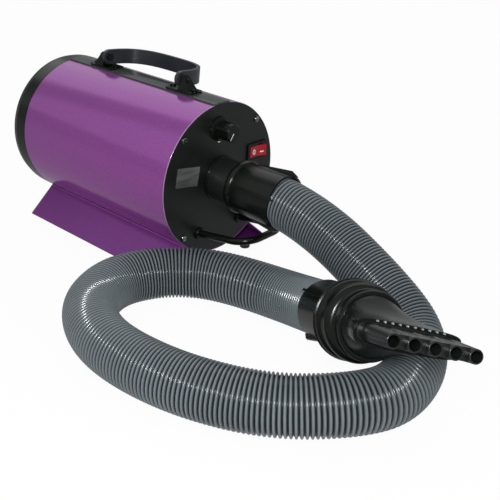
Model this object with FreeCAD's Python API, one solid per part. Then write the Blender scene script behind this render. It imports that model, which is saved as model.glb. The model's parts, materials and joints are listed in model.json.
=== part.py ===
import FreeCAD, Part
import math
import os

# Pet dryer with its hose and comb nozzle, in millimetres.
# Everything is drawn from the middle of the drum's front rim, where x runs forward along the drum's axis,
# y to the switch side and z up. put() then moves each piece to the part's own origin on the floor.

V = FreeCAD.Vector
AHEAD = V(1, 0, 0)
UP = V(0, 0, 1)

# Drum
DRUM_R = 85.0
SHEET = 1.2
DRUM_LENGTH = 247.0
FIT = 0.1
GAP = 0.3
RAIL_WIDTH = 23.0
RAIL_THICK = 1.5

# Front panel and what is fixed to it
PANEL_THICK = 1.6
PANEL_MARGIN = 0.4
CAP_LIP_GAP = 0.2
RIM_RING_WIDTH = 10.0
RIM_RING_DEPTH = 10.0
PANEL_SCREW_CIRCLE = 79.0
SCREW_SHANK_R = 1.9
SCREW_HEAD_R = 3.4
SCREW_HEAD_HEIGHT = 2.0
PANEL_SCREW_LENGTH = 9.0
PLATE_SIZE = (32.7, 21.4)
PLATE_THICK = 0.5
PLATE_PLACE = (-50.4, 13.9)
PLATE_TILT = -10.0

# Outlet
SPIGOT_R = 24.0
SPIGOT_WALL = 2.0
SPIGOT_FLANGE_R = 31.0
SPIGOT_FLANGE_THICK = 2.0
GASKET_THICK = 1.5
TRIM_RING_R = 25.8
TRIM_RING_HEIGHT = 3.5

# Hose cuff, the same moulding at both ends of the hose
CUFF_LENGTH = 62.0
CUFF_RIM_R = 29.4
CUFF_WAIST_R = 28.2
CUFF_NECK_R = 27.4
CUFF_FLANGE_R = 29.7
CUFF_FLANGE_CREST = 1.8
CUFF_FLANGE_LENGTH = 8.0
CUFF_NECK_LENGTH = 4.0
CUFF_START = 31.0
FIN_COUNT = 4
FIN_TURN = 24.0
NOZZLE_CUFF_TURN = -52.0
FIN_THICK = 2.2
FIN_CREST_R = 33.6
FIN_POINT = 4.0
FIN_ROOT = 0.6
FIN_OVERHANG = 6.0

# Hose
HOSE_R = 27.0
HOSE_BORE_R = 24.4
RIB_DEPTH = 1.6
RIB_COUNT = 200
RIB_CREST_SHARE = 0.5
RIB_FLANK_SHARE = 0.17
HOSE_IN_CUFF = 48.0
ARC_SHARE = 0.45

# Switch
BEZEL_SIZE = (31.0, 20.0)
BEZEL_HEIGHT = 2.2
SWITCH_PLACE = (58.0, 18.4)
SWITCH_RIM = 2.0
SWITCH_DEPTH = 23.0
ROCKER_WELL = 11.0
ROCKER_MARGIN = 3.5
ROCKER_TILT = 10.0
ROCKER_PIN_R = 1.4
ROCKER_PIN_LENGTH = 1.6

# Speed knob
KNOB_PLACE = (-4.0, 57.8)
KNOB_SKIRT_R = 13.5
KNOB_SKIRT = 2.6
KNOB_ROOT_R = 10.4
KNOB_TOP_R = 9.6
KNOB_HEIGHT = 22.0
KNOB_CREST = 1.0
FLUTE_COUNT = 20
FLUTE_R = 0.9
POINTER_WIDTH = 1.3
POINTER_DEPTH = 0.4
POINTER_ANGLE = -126.0
POT_R = 8.5
POT_DEPTH = 11.0
POT_SHAFT_R = 3.0
POT_BUSH_R = 4.5
POT_BUSH_REACH = 4.0
POT_NUT_WIDTH = 11.0
POT_NUT_THICK = 2.0

# Front bail
BAIL_ROD_R = 4.0
BAIL_HALF_SPAN = 32.5
BAIL_DROP = 57.2
BAIL_REACH = 71.0
BAIL_CORNER_R = 22.0
BAIL_LIFT = 9.5
BAIL_BOSS_R = 7.0
BAIL_BOSS_HEIGHT = 4.0
BAIL_STUD_R = 2.5
BAIL_STUD_LENGTH = 9.0
BAIL_NUT_WIDTH = 8.0
BAIL_NUT_THICK = 4.0

# Base stand
STAND_CREASE_ANGLE = 54.0
STAND_FOOT_HALF = 86.5
STAND_FOOT_DROP = 101.0
STAND_FLANGE_EDGE = 48.5
STAND_BEND_R = 1.6
FOOT_R = 6.1
FOOT_HEIGHT = 4.5
FOOT_OFFSET = 52.5
FOOT_STEM_R = 2.5
STAND_SCREW_Y = 15.0
STAND_SCREW_INSET = (38.0, 27.0)

# Rear cap
CAP_LENGTH = 27.0
CAP_R = 85.2
CAP_BACK_R = 80.4
CAP_WALL = 2.5
CAP_LIP = 7.0
CAP_BOSS_CIRCLE = 74.0
CAP_BOSS_R = 5.0
SLOT_WIDTH = 3.0
SLOT_STEP = 6.0
SLOT_FIRST_R = 20.0
SLOT_LAST_R = 56.0
SPOKE_COUNT = 8
SPOKE_WIDTH = 6.0
FOAM_R = 58.5
FOAM_THICK = 12.0
RETAINER_THICK = 2.0
RETAINER_R = 79.5
RETAINER_BAR = 8.0
GLAND_DROP = 68.0
GLAND_R = 7.0
GLAND_BORE_R = 3.6
GLAND_REACH = 10.0
GLAND_INSIDE = 7.0

# Motor and fan
REAR_BULKHEAD_INSET = 40.0
BULKHEAD_THICK = 3.0
BULKHEAD_EYE_R = 44.0
MOTOR_GASKET_THICK = 4.0
FAN_R = 62.0
FAN_DEPTH = 40.0
FAN_WALL = 1.5
FAN_EYE_R = 24.0
IMPELLER_R = 57.0
IMPELLER_DEPTH = 20.0
IMPELLER_PLATE = 1.2
BLADE_COUNT = 8
BLADE_THICK = 1.5
BLADE_SWEEP = 55.0
HUB_R = 9.0
MOTOR_R = 45.0
MOTOR_WALL = 2.5
MOTOR_LENGTH = 74.0
SPIDER_THICK = 6.0
SPIDER_ARM = 12.0
BEARING_R = 11.0
BEARING_WIDTH = 7.0
BEARING_SEAT_WALL = 3.0
SHAFT_R = 4.0
SHAFT_CLEARANCE = 0.05
ARMATURE_R = 25.0
ARMATURE_LENGTH = 30.0
AIR_GAP = 0.6
SLOT_COUNT = 12
ARMATURE_SLOT = (3.0, 6.0)
COIL_LENGTH = 7.0
COMMUTATOR_R = 12.0
COMMUTATOR_LENGTH = 11.0
STATOR_WINDOW = (22.0, 9.0)
BRUSH_SIZE = 6.0
BRUSH_LENGTH = 17.0
HOLDER_WALL = 1.5
LINER_THICK = 10.0
LINER_LENGTH = 96.0
DUCT_WALL = 1.6
DUCT_STRAIGHT = 26.0
DUCT_REAR_R = 62.0

# Speed control
BOARD_SIZE = (46.0, 32.0)
BOARD_THICK = 1.6
BOARD_DROP = 56.0
BOARD_STANDOFF = 12.0
STANDOFF_R = 2.6
HEAT_SINK_SIZE = (10.0, 24.0, 16.0)
HEAT_SINK_FIN = 2.0

# Handle
HANDLE_MIDDLE = 125.0
HANDLE_HALF = 62.0
HANDLE_REACH = 48.0
HANDLE_POWER = 3.0
HANDLE_DROOP = 5.0
BAND_WIDTH = 17.0
BAND_THICK = 4.4
BAND_POINTS = 28
PIVOT_RISE = 11.3
PIN_R = 2.5
PIN_HEAD_R = 4.2
PIN_HEAD = 2.0
TENT_LENGTH = 15.0
TENT_WIDTH = 16.0
TENT_TOP = 5.0
TENT_NOSE = 6.0
BRACKET_FOOT = (42.0, 20.0, 1.5)
BRACKET_FOOT_AHEAD = 25.0
BRACKET_SCREW_INSET = 4.0
STAND_SCREW_LENGTH = 4.5

# Nozzle, drawn along its own axis from the rim of its cuff
NOZZLE_AZIMUTH = -32.5
NOZZLE_RISE = 23.5
NOZZLE_ROLL = -16.4
NOZZLE_RIM = V(202.6, -63.3, -56.4)
COLLAR_R = 36.6
COLLAR_LENGTH = 34.0
COLLAR_LIP = 2.0
COLLAR_BEAD_R = 36.0
COLLAR_BEAD = (2.8, 10.5)
COLLAR_VALLEY_R = 33.2
COLLAR_VALLEY = (14.0, 18.0)
COLLAR_RIDGE_R = 34.4
COLLAR_RIDGE_PLACE = 24.5
COLLAR_NECK_R = 29.4
COLLAR_END_RING = 5.0
CREST = 1.2
NECK_LENGTH = 10.6
NECK_RING_R = 30.2
NECK_RING_LENGTH = 6.0
FLARE_ROOT_R = 28.0
FLARE_ROOT_DEPTH = 3.0
NOZZLE_WALL = 2.2
MOUTH_HALF_WIDTH = 44.0
MOUTH_HALF_HEIGHT = 10.5
MOUTH_PLACE = 172.0
MOUTH_POWER = 5.0
FAN_SECTIONS = 7
FAN_EDGE_POINTS = 24
TUBE_COUNT = 5
TUBE_PITCH = 16.2
TUBE_TIP_R = 5.6
TUBE_ROOT_R = 7.0
TUBE_BORE_R = 4.4
TUBE_TIP = 215.0
COMB_PLATE = 5.0
COMB_SETBACK = 1.5
COMB_WEB_SETBACK = 5.0
COMB_WEB_STEP = 0.5
BRISTLE_COUNT = 10
BRISTLE_PITCH = 6.15
BRISTLE_R = 0.8
BRISTLE_REACH = 2.5
BRISTLE_ROOT = 3.0
NOZZLE_SPIGOT_WALL = 2.0

# The hose's route from inside the outlet cuff to inside the nozzle's cuff. Between the first two points
# and the last two it runs straight, and each other point is where two straight runs would meet.
HOSE_BENDS = [
    V(143, 0, 0), V(236, -13, -45), V(292, -46, -76), V(309, -96, -78.5), V(292, -146, -78.5),
    V(240, -191, -78.5), V(176, -218, -78.5), V(110, -229, -78.5), V(55, -223, -78.5), V(17, -200, -78.5),
    V(-5, -163, -78.5), V(-4, -124, -78.5), V(14, -96, -78.5), V(64, -58, -78.5),
]
LAST_BEND_BEFORE_RIM = 50.0

# Places that follow from the sizes above
SHELL_R = DRUM_R - SHEET
PANEL_FACE = 0.0
PANEL_BACK = PANEL_FACE - PANEL_THICK
RAIL_TOP = DRUM_R + RAIL_THICK
REAR_SEAM = -DRUM_LENGTH
CAP_BACK = REAR_SEAM - CAP_LENGTH
CAP_INSIDE = CAP_BACK + CAP_WALL
CAP_RING_FACE = REAR_SEAM + CAP_LIP
FLANGE_FACE = PANEL_BACK - GASKET_THICK
FLANGE_BACK = FLANGE_FACE - SPIGOT_FLANGE_THICK
HOSE_START = CUFF_START + CUFF_LENGTH - HOSE_IN_CUFF
CUFF_BORE_R = HOSE_R + FIT
REAR_BULKHEAD = REAR_SEAM + REAR_BULKHEAD_INSET
FAN_FACE = REAR_BULKHEAD + BULKHEAD_THICK + MOTOR_GASKET_THICK
FAN_FRONT = FAN_FACE + FAN_DEPTH
MOTOR_FRONT = FAN_FRONT + MOTOR_LENGTH
FRONT_BULKHEAD = MOTOR_FRONT - SPIDER_THICK - BULKHEAD_THICK
PIVOT_Z = RAIL_TOP + PIVOT_RISE
FLOOR = -(STAND_FOOT_DROP + FOOT_HEIGHT)
REAR_REACH = DRUM_LENGTH + CAP_LENGTH + GLAND_REACH
BAIL_FRONT = BAIL_REACH * math.cos(math.radians(BAIL_LIFT)) + BAIL_ROD_R
HOME = V((REAR_REACH - BAIL_FRONT) / 2, 0, -FLOOR)
NOZZLE_TURN = FreeCAD.Rotation(NOZZLE_AZIMUTH, -NOZZLE_RISE, NOZZLE_ROLL)
NOZZLE_POSE = FreeCAD.Placement(NOZZLE_RIM, NOZZLE_TURN)


def put(name, shape):
    """Moves a piece from the drum's front rim to the part's origin and writes it."""
    placed = shape.copy()
    placed.translate(HOME)
    placed.exportStep(f"parts/{name}.step")
    return placed


def rod(radius, start, end, y=0.0, z=0.0):
    """A round bar along x."""
    return Part.makeCylinder(radius, end - start, V(start, y, z), AHEAD)


def ring(outer, inner, start, end, y=0.0, z=0.0):
    return rod(outer, start, end, y, z).cut(rod(inner, start, end, y, z))


def block(x0, x1, y0, y1, z0, z1):
    return Part.makeBox(x1 - x0, y1 - y0, z1 - z0, V(x0, y0, z0))


def turned(outline):
    """A solid of revolution about x from its outline of (x, radius) points.

    An entry of two points is an arc, which goes through the first and ends at the second."""
    edges = []
    last = V(outline[0][0], 0, outline[0][1])
    for entry in outline[1:] + outline[:1]:
        if isinstance(entry[0], tuple):
            middle, end = [V(x, 0, r) for x, r in entry]
            edges.append(Part.Arc(last, middle, end).toShape())
        else:
            end = V(entry[0], 0, entry[1])
            edges.append(Part.makeLine(last, end))
        last = end
    return Part.Face(Part.Wire(edges)).revolve(V(0, 0, 0), AHEAD, 360)


def bead(start, end, base_r, crest_r):
    """Outline entries for a rounded ring that stands up from its base radius."""
    return [(start, base_r), (((start + end) / 2, crest_r), (end, base_r))]


def turn_about_axis(shape, degrees):
    return shape.copy().rotated(V(0, 0, 0), AHEAD, degrees)


def around(count, first=0.0):
    return [first + 360.0 * k / count for k in range(count)]


def on_circle(radius, degrees):
    angle = math.radians(degrees)
    return radius * math.cos(angle), radius * math.sin(angle)


def hexagon(width, start, end, y, z):
    """A nut blank along x, measured across its flats."""
    corner_r = width / math.sqrt(3)
    corners = [V(start, y + on_circle(corner_r, a)[0], z + on_circle(corner_r, a)[1]) for a in around(6)]
    face = Part.Face(Part.makePolygon(corners + corners[:1]))
    return face.extrude(V(end - start, 0, 0))


def axial_screw(face, y, z, length, forward=True):
    """A round-headed screw along x with its head standing on the given face."""
    way = 1 if forward else -1
    head = Part.makeCylinder(SCREW_HEAD_R, SCREW_HEAD_HEIGHT, V(face, y, z), AHEAD * way)
    head = head.makeFillet(SCREW_HEAD_HEIGHT * 0.45, [far_circle(head, way)])
    slot = block(-0.5, 0.5, -SCREW_HEAD_R, SCREW_HEAD_R, -0.5, 0.5)
    slot.translate(V(face + way * SCREW_HEAD_HEIGHT, y, z))
    shank = Part.makeCylinder(SCREW_SHANK_R, length, V(face, y, z), AHEAD * -way)
    return head.fuse(shank).cut(slot).removeSplitter()


def far_circle(solid, way):
    """The round edge at the end of a turned blank that looks along x in the given way."""
    rims = [e for e in solid.Edges if isinstance(e.Curve, Part.Circle)]
    return max(rims, key=lambda e: e.Curve.Center.x * way)


def upright_screw(x, y, z, length, up=True):
    """A round-headed screw along z with the underside of its head at z."""
    way = UP if up else -UP
    head = Part.makeCylinder(SCREW_HEAD_R, SCREW_HEAD_HEIGHT, V(x, y, z), way)
    shank = Part.makeCylinder(SCREW_SHANK_R, length, V(x, y, z), -way)
    return head.fuse(shank).removeSplitter()


def upright_hole(radius, x, y):
    return Part.makeCylinder(radius, 4 * DRUM_R, V(x, y, -2 * DRUM_R))


# Drum and base

def stand_screw_places():
    front, rear = STAND_SCREW_INSET
    return [(x, y) for x in (-front, REAR_SEAM + rear) for y in (-STAND_SCREW_Y, STAND_SCREW_Y)]


def bracket_screw_places():
    """Two screws in each bracket's foot, one at either end."""
    half = BRACKET_FOOT[0] / 2 - BRACKET_SCREW_INSET
    middle = HANDLE_HALF + BRACKET_FOOT_AHEAD - BRACKET_FOOT[0] / 2
    offsets = [middle - half, middle + half]
    return [-HANDLE_MIDDLE + way * d for way in (1, -1) for d in offsets]


def body_shell():
    shell = ring(DRUM_R, SHELL_R, REAR_SEAM, PANEL_BACK)
    for x in bracket_screw_places():
        shell = shell.cut(Part.makeCylinder(SCREW_SHANK_R, DRUM_R + SHEET, V(x, 0, 0), UP))
    for x, y in stand_screw_places():
        shell = shell.cut(Part.makeCylinder(SCREW_SHANK_R, DRUM_R + SHEET, V(x, y, 0), -UP))
    return shell


def top_rail():
    band = ring(RAIL_TOP, DRUM_R, REAR_SEAM, 0)
    rail = band.common(block(REAR_SEAM, 0, -RAIL_WIDTH / 2, RAIL_WIDTH / 2, 0, 2 * DRUM_R))
    for x in bracket_screw_places():
        rail = rail.cut(Part.makeCylinder(SCREW_SHANK_R, 2 * DRUM_R, V(x, 0, 0), UP))
    return rail


def stand_side(side):
    """One flared leg of the stand and its foot flange, as a sheet bent twice."""
    angle = math.radians(STAND_CREASE_ANGLE)
    top_r = DRUM_R + SHEET / 2
    top = V(0, side * top_r * math.cos(angle), -top_r * math.sin(angle))
    knee = V(0, side * STAND_FOOT_HALF, -STAND_FOOT_DROP)
    edge = V(0, side * STAND_FLANGE_EDGE, -STAND_FOOT_DROP)
    down = (knee - top).normalize()
    inward = V(0, side * down.z, -side * down.y)
    inner_top = top + inward * SHEET
    inner_knee = inner_top + down * ((knee.z + SHEET - inner_top.z) / down.z)
    corners = [top, knee, edge, edge + V(0, 0, SHEET), inner_knee, inner_top]
    face = Part.Face(Part.makePolygon(corners + corners[:1]))
    leg = face.extrude(V(REAR_SEAM, 0, 0))
    bends = [e for e in leg.Edges if along_x(e) and near(e, knee)]
    leg = leg.makeFillet(STAND_BEND_R, bends)
    for x in (-FOOT_R, REAR_SEAM + FOOT_R):
        stem = Part.makeCylinder(FOOT_STEM_R, 2 * SHEET, V(x, side * FOOT_OFFSET, -STAND_FOOT_DROP))
        leg = leg.cut(stem)
    return leg


def along_x(edge):
    return abs(edge.BoundBox.XLength - edge.Length) < 1e-3


def near(edge, corner):
    middle = edge.CenterOfMass
    return abs(middle.y - corner.y) < 0.1 and abs(middle.z - corner.z) < 0.1


def base_stand():
    """One bent sheet: a saddle under the drum, a flared leg on each side and a flange at each foot."""
    saddle = ring(DRUM_R + SHEET, DRUM_R, REAR_SEAM, 0)
    angle = math.radians(STAND_CREASE_ANGLE)
    half = (DRUM_R + SHEET / 2) * math.cos(angle)
    saddle = saddle.common(block(REAR_SEAM, 0, -half, half, -2 * DRUM_R, 0))
    stand = saddle.fuse([stand_side(-1), stand_side(1)])
    for x, y in stand_screw_places():
        stand = stand.cut(Part.makeCylinder(SCREW_SHANK_R, 2 * DRUM_R, V(x, y, 0), -UP))
    return stand.removeSplitter()


def stand_screws():
    screws = []
    for x, y in stand_screw_places():
        seat = -math.sqrt((DRUM_R + SHEET) ** 2 - (abs(y) - SCREW_HEAD_R) ** 2)
        screws.append(upright_screw(x, y, seat, STAND_SCREW_LENGTH, up=False))
    return Part.makeCompound(screws)


def base_feet():
    feet = []
    for x in (-FOOT_R, REAR_SEAM + FOOT_R):
        for side in (-1, 1):
            place = V(x, side * FOOT_OFFSET, FLOOR)
            pad = Part.makeCylinder(FOOT_R, FOOT_HEIGHT, place)
            pad = pad.makeFillet(1.0, [e for e in pad.Edges if e.BoundBox.ZMax < FLOOR + 0.01])
            stem = Part.makeCylinder(FOOT_STEM_R, FOOT_HEIGHT + SHEET, place)
            feet.append(pad.fuse(stem).removeSplitter())
    return Part.makeCompound(feet)


# Front panel

def panel_screw_places():
    return [on_circle(PANEL_SCREW_CIRCLE, a) for a in around(4, 45)]


def front_mounting_ring():
    frame = ring(SHELL_R, SHELL_R - RIM_RING_WIDTH, PANEL_BACK - RIM_RING_DEPTH, PANEL_BACK)
    for y, z in panel_screw_places():
        frame = frame.cut(rod(SCREW_SHANK_R, PANEL_BACK - RIM_RING_DEPTH, PANEL_BACK, y, z))
    return frame.cut(switch_body_block(PANEL_BACK - RIM_RING_DEPTH, PANEL_BACK, GAP))


def front_panel():
    panel = rod(DRUM_R - PANEL_MARGIN, PANEL_BACK, PANEL_FACE)
    holes = [rod(SPIGOT_R + FIT, PANEL_BACK, PANEL_FACE)]
    holes += [rod(SCREW_SHANK_R + FIT, PANEL_BACK, PANEL_FACE, y, z) for y, z in panel_screw_places()]
    holes += [rod(BAIL_STUD_R + FIT, PANEL_BACK, PANEL_FACE, y, -BAIL_DROP) for y in bail_sides()]
    holes.append(rod(POT_BUSH_R + FIT, PANEL_BACK, PANEL_FACE, *KNOB_PLACE))
    holes.append(switch_body_block(PANEL_BACK, PANEL_FACE, FIT))
    return panel.cut(Part.makeCompound(holes))


def front_panel_screws():
    return Part.makeCompound([axial_screw(PANEL_FACE, y, z, PANEL_SCREW_LENGTH) for y, z in panel_screw_places()])


def data_plate():
    width, height = PLATE_SIZE
    plate = block(PANEL_FACE, PANEL_FACE + PLATE_THICK, -width / 2, width / 2, -height / 2, height / 2)
    plate = plate.makeFillet(1.0, [e for e in plate.Edges if along_x(e)])
    plate = turn_about_axis(plate, PLATE_TILT)
    plate.translate(V(0, *PLATE_PLACE))
    return plate


# Outlet and cuffs

def outlet_spigot():
    tube = ring(SPIGOT_R, SPIGOT_R - SPIGOT_WALL, FLANGE_BACK, HOSE_START - GAP)
    flange = ring(SPIGOT_FLANGE_R, SPIGOT_R, FLANGE_BACK, FLANGE_FACE)
    return tube.fuse(flange).removeSplitter()


def outlet_gasket():
    return ring(SPIGOT_FLANGE_R, SPIGOT_R, FLANGE_FACE, PANEL_BACK)


def outlet_trim_ring():
    trim = ring(TRIM_RING_R, SPIGOT_R, PANEL_FACE, PANEL_FACE + TRIM_RING_HEIGHT)
    crest = [e for e in trim.Edges if isinstance(e.Curve, Part.Circle)]
    crest = [e for e in crest if e.Curve.Radius > SPIGOT_R and e.Curve.Center.x > PANEL_FACE + 1]
    return trim.makeFillet(0.8, crest)


def cuff():
    """The hose cuff from its rim at x = 0, where the hose goes in, to its flange."""
    neck_end = CUFF_LENGTH - CUFF_FLANGE_LENGTH
    neck_start = neck_end - CUFF_NECK_LENGTH
    throat = SPIGOT_R + FIT
    body = turned([
        (0, CUFF_BORE_R), (0, CUFF_RIM_R), (neck_start, CUFF_WAIST_R), (neck_start + 1, CUFF_NECK_R),
        (neck_end, CUFF_NECK_R), *bead(neck_end, CUFF_LENGTH, CUFF_FLANGE_R - CUFF_FLANGE_CREST, CUFF_FLANGE_R),
        (CUFF_LENGTH, throat), (HOSE_IN_CUFF, throat), (HOSE_IN_CUFF, CUFF_BORE_R),
    ])
    root = CUFF_BORE_R + FIN_ROOT
    outline = [(0, root), (-FIN_OVERHANG, CUFF_RIM_R), (FIN_POINT, FIN_CREST_R), (neck_start, CUFF_WAIST_R),
               (neck_start, root)]
    points = [V(x, -FIN_THICK / 2, r) for x, r in outline]
    fin = Part.Face(Part.makePolygon(points + points[:1])).extrude(V(0, FIN_THICK, 0))
    fins = [turn_about_axis(fin, a - 90) for a in around(FIN_COUNT, FIN_TURN)]
    return body.fuse(fins).removeSplitter()


def outlet_cuff():
    placed = cuff().rotated(V(0, 0, 0), UP, 180)
    placed.translate(V(CUFF_START + CUFF_LENGTH, 0, 0))
    return placed


# Switch and knob

def switch_body_block(start, end, margin=0.0):
    half_y = BEZEL_SIZE[0] / 2 - SWITCH_RIM + margin
    half_z = BEZEL_SIZE[1] / 2 - SWITCH_RIM + margin
    y, z = SWITCH_PLACE
    return block(start, end, y - half_y, y + half_y, z - half_z, z + half_z)


def rocker_well():
    half_y = BEZEL_SIZE[0] / 2 - ROCKER_MARGIN
    half_z = BEZEL_SIZE[1] / 2 - ROCKER_MARGIN
    return half_y, half_z


def switch_housing():
    y, z = SWITCH_PLACE
    wide, high = BEZEL_SIZE
    bezel = block(PANEL_FACE, PANEL_FACE + BEZEL_HEIGHT, y - wide / 2, y + wide / 2, z - high / 2, z + high / 2)
    bezel = bezel.makeFillet(1.5, [e for e in bezel.Edges if along_x(e)])
    body = switch_body_block(PANEL_FACE - SWITCH_DEPTH, PANEL_FACE)
    half_y, half_z = rocker_well()
    well = block(PANEL_FACE - ROCKER_WELL, PANEL_FACE + BEZEL_HEIGHT, y - half_y, y + half_y, z - half_z, z + half_z)
    pin_half = half_z - GAP + ROCKER_PIN_LENGTH
    pin = Part.makeCylinder(ROCKER_PIN_R + SHAFT_CLEARANCE, 2 * pin_half + 1, V(PANEL_FACE, y, z - pin_half - 0.5))
    tabs = [block(PANEL_FACE - SWITCH_DEPTH - 7, PANEL_FACE - SWITCH_DEPTH, y + dy - 0.4, y + dy + 0.4, z - 3, z + 3)
            for dy in (-7, 0, 7)]
    return bezel.fuse(body).cut(well).cut(pin).fuse(tabs).removeSplitter()


def switch_rocker():
    """The rocker lies tilted on its 0 side, so that its joint starts at one end of its travel."""
    half_y, half_z = rocker_well()
    half_y -= 2 * GAP
    half_z -= GAP
    outline = [(4.6, -half_y), (2.6, 0), (4.6, half_y), (-3, half_y), (-6, 0), (-3, -half_y)]
    points = [V(x, y, -half_z) for x, y in outline]
    key = Part.Face(Part.makePolygon(points + points[:1])).extrude(V(0, 0, 2 * half_z))
    pin = Part.makeCylinder(ROCKER_PIN_R, 2 * (half_z + ROCKER_PIN_LENGTH), V(0, 0, -half_z - ROCKER_PIN_LENGTH))
    rocker = key.fuse(pin).rotated(V(0, 0, 0), UP, -ROCKER_TILT)
    rocker.translate(V(PANEL_FACE, *SWITCH_PLACE))
    return rocker


def potentiometer_body():
    y, z = KNOB_PLACE
    can = rod(POT_R, PANEL_BACK - POT_DEPTH, PANEL_BACK, y, z)
    bush = rod(POT_BUSH_R, PANEL_BACK, PANEL_FACE + POT_BUSH_REACH, y, z)
    bore = rod(POT_SHAFT_R + SHAFT_CLEARANCE, PANEL_BACK - POT_DEPTH / 2, PANEL_FACE + POT_BUSH_REACH, y, z)
    lug = block(PANEL_BACK - POT_DEPTH + 2, PANEL_BACK - POT_DEPTH + 3, y - 6, y + 6, z - POT_R - 4, z - POT_R + 2)
    return can.fuse([bush, lug]).cut(bore)


def potentiometer_nut():
    y, z = KNOB_PLACE
    nut = hexagon(POT_NUT_WIDTH, PANEL_FACE, PANEL_FACE + POT_NUT_THICK, y, z)
    return nut.cut(rod(POT_BUSH_R, PANEL_FACE, PANEL_FACE + POT_NUT_THICK, y, z))


def potentiometer_shaft():
    top = PANEL_FACE + KNOB_HEIGHT - 3
    return rod(POT_SHAFT_R, PANEL_BACK - POT_DEPTH / 2 + GAP, top, *KNOB_PLACE)


def speed_knob():
    """A fluted cylinder on a skirt. The groove in its top, for the pointer line, points to the lowest speed."""
    bottom = GAP + 0.2
    knob = turned([
        (bottom, 0), (bottom, KNOB_SKIRT_R), (KNOB_SKIRT - 0.6, KNOB_SKIRT_R), (KNOB_SKIRT, KNOB_SKIRT_R - 0.8),
        (KNOB_SKIRT + 0.8, KNOB_ROOT_R), (KNOB_HEIGHT - KNOB_CREST, KNOB_TOP_R),
        (KNOB_HEIGHT, KNOB_TOP_R - KNOB_CREST), (KNOB_HEIGHT, 0),
    ])
    flute = rod(FLUTE_R, KNOB_SKIRT + 3, KNOB_HEIGHT - 3, KNOB_ROOT_R)
    flutes = [turn_about_axis(flute, a) for a in around(FLUTE_COUNT)]
    half = POINTER_WIDTH / 2
    pointer = block(KNOB_HEIGHT - POINTER_DEPTH, KNOB_HEIGHT, 0, KNOB_TOP_R, -half, half)
    nut_space = rod(POT_NUT_WIDTH / math.sqrt(3) + GAP, 0, POT_BUSH_REACH + GAP)
    shaft_bore = rod(POT_SHAFT_R, 0, KNOB_HEIGHT - 3)
    knob = knob.cut(flutes + [turn_about_axis(pointer, POINTER_ANGLE), nut_space, shaft_bore])
    knob.translate(V(PANEL_FACE, *KNOB_PLACE))
    return knob


# Front bail

def bail_sides():
    return (-BAIL_HALF_SPAN, BAIL_HALF_SPAN)


def pipe_along(points, radius, corner_r):
    """A round bar along straight runs with arcs of the given radius at the corners."""
    edges = rounded_path(points, [corner_r] * (len(points) - 2))
    wire = Part.Wire(edges)
    start = points[0]
    profile = Part.Wire(Part.Circle(start, points[1] - start, radius).toShape())
    return wire.makePipeShell([profile], True, False)


def front_bail():
    reach = BAIL_REACH
    corners = [V(0, -BAIL_HALF_SPAN, 0), V(reach, -BAIL_HALF_SPAN, 0), V(reach, BAIL_HALF_SPAN, 0), V(0, BAIL_HALF_SPAN, 0)]
    bow = pipe_along(corners, BAIL_ROD_R, BAIL_CORNER_R)
    bow = bow.rotated(V(0, 0, 0), V(0, -1, 0), BAIL_LIFT)
    bow.translate(V(0, 0, -BAIL_DROP))
    bow = bow.cut(block(-BAIL_REACH, PANEL_FACE, -DRUM_R, DRUM_R, -DRUM_R, 0))
    pieces = []
    for y in bail_sides():
        boss = rod(BAIL_BOSS_R, PANEL_FACE, PANEL_FACE + BAIL_BOSS_HEIGHT, y, -BAIL_DROP)
        pieces.append(boss.makeFillet(1.5, [far_circle(boss, 1)]))
        pieces.append(rod(BAIL_STUD_R, PANEL_BACK - BAIL_STUD_LENGTH, PANEL_FACE, y, -BAIL_DROP))
    return bow.fuse(pieces).removeSplitter()


def bail_nuts():
    nuts = []
    for y in bail_sides():
        nut = hexagon(BAIL_NUT_WIDTH, PANEL_BACK - BAIL_NUT_THICK, PANEL_BACK, y, -BAIL_DROP)
        nuts.append(nut.cut(rod(BAIL_STUD_R, PANEL_BACK - BAIL_NUT_THICK, PANEL_BACK, y, -BAIL_DROP)))
    return Part.makeCompound(nuts)


# Rear cap and filter

def cap_boss_places():
    return [on_circle(CAP_BOSS_CIRCLE, a) for a in around(4, 45)]


def intake_slots():
    rings = []
    radius = SLOT_FIRST_R
    while radius <= SLOT_LAST_R:
        rings.append(ring(radius, radius - SLOT_WIDTH, CAP_BACK, CAP_INSIDE))
        radius += SLOT_STEP
    spoke = block(CAP_BACK, CAP_INSIDE, 0, DRUM_R, -SPOKE_WIDTH / 2, SPOKE_WIDTH / 2)
    spokes = [turn_about_axis(spoke, a) for a in around(SPOKE_COUNT, 22.5)]
    return Part.makeCompound(rings).cut(Part.makeCompound(spokes))


def rear_cap():
    lip_r = SHELL_R - CAP_LIP_GAP
    cap = turned([
        (CAP_RING_FACE, lip_r - CAP_WALL), (CAP_RING_FACE, lip_r), (REAR_SEAM, lip_r), (REAR_SEAM, CAP_R),
        (CAP_BACK + 10, CAP_R - 0.4), (CAP_BACK + 3, CAP_R - 2.2), (CAP_BACK, CAP_BACK_R), (CAP_BACK, 0),
        (CAP_INSIDE, 0), (CAP_INSIDE, CAP_BACK_R - CAP_WALL), (CAP_BACK + 6, lip_r - CAP_WALL),
    ])
    bosses = [rod(CAP_BOSS_R, CAP_INSIDE, CAP_RING_FACE, y, z) for y, z in cap_boss_places()]
    holes = [rod(SCREW_SHANK_R + FIT, CAP_BACK, CAP_RING_FACE, y, z) for y, z in cap_boss_places()]
    holes.append(rod(GLAND_R, CAP_BACK, CAP_INSIDE, 0, -GLAND_DROP))
    return cap.fuse(bosses).cut(Part.makeCompound(holes)).cut(intake_slots()).removeSplitter()


def rear_mounting_ring():
    end = CAP_RING_FACE + RIM_RING_DEPTH
    frame = ring(SHELL_R, SHELL_R - 2 * RIM_RING_WIDTH, CAP_RING_FACE, end)
    for y, z in cap_boss_places():
        frame = frame.cut(rod(SCREW_SHANK_R, CAP_RING_FACE, end, y, z))
    return frame


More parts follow.
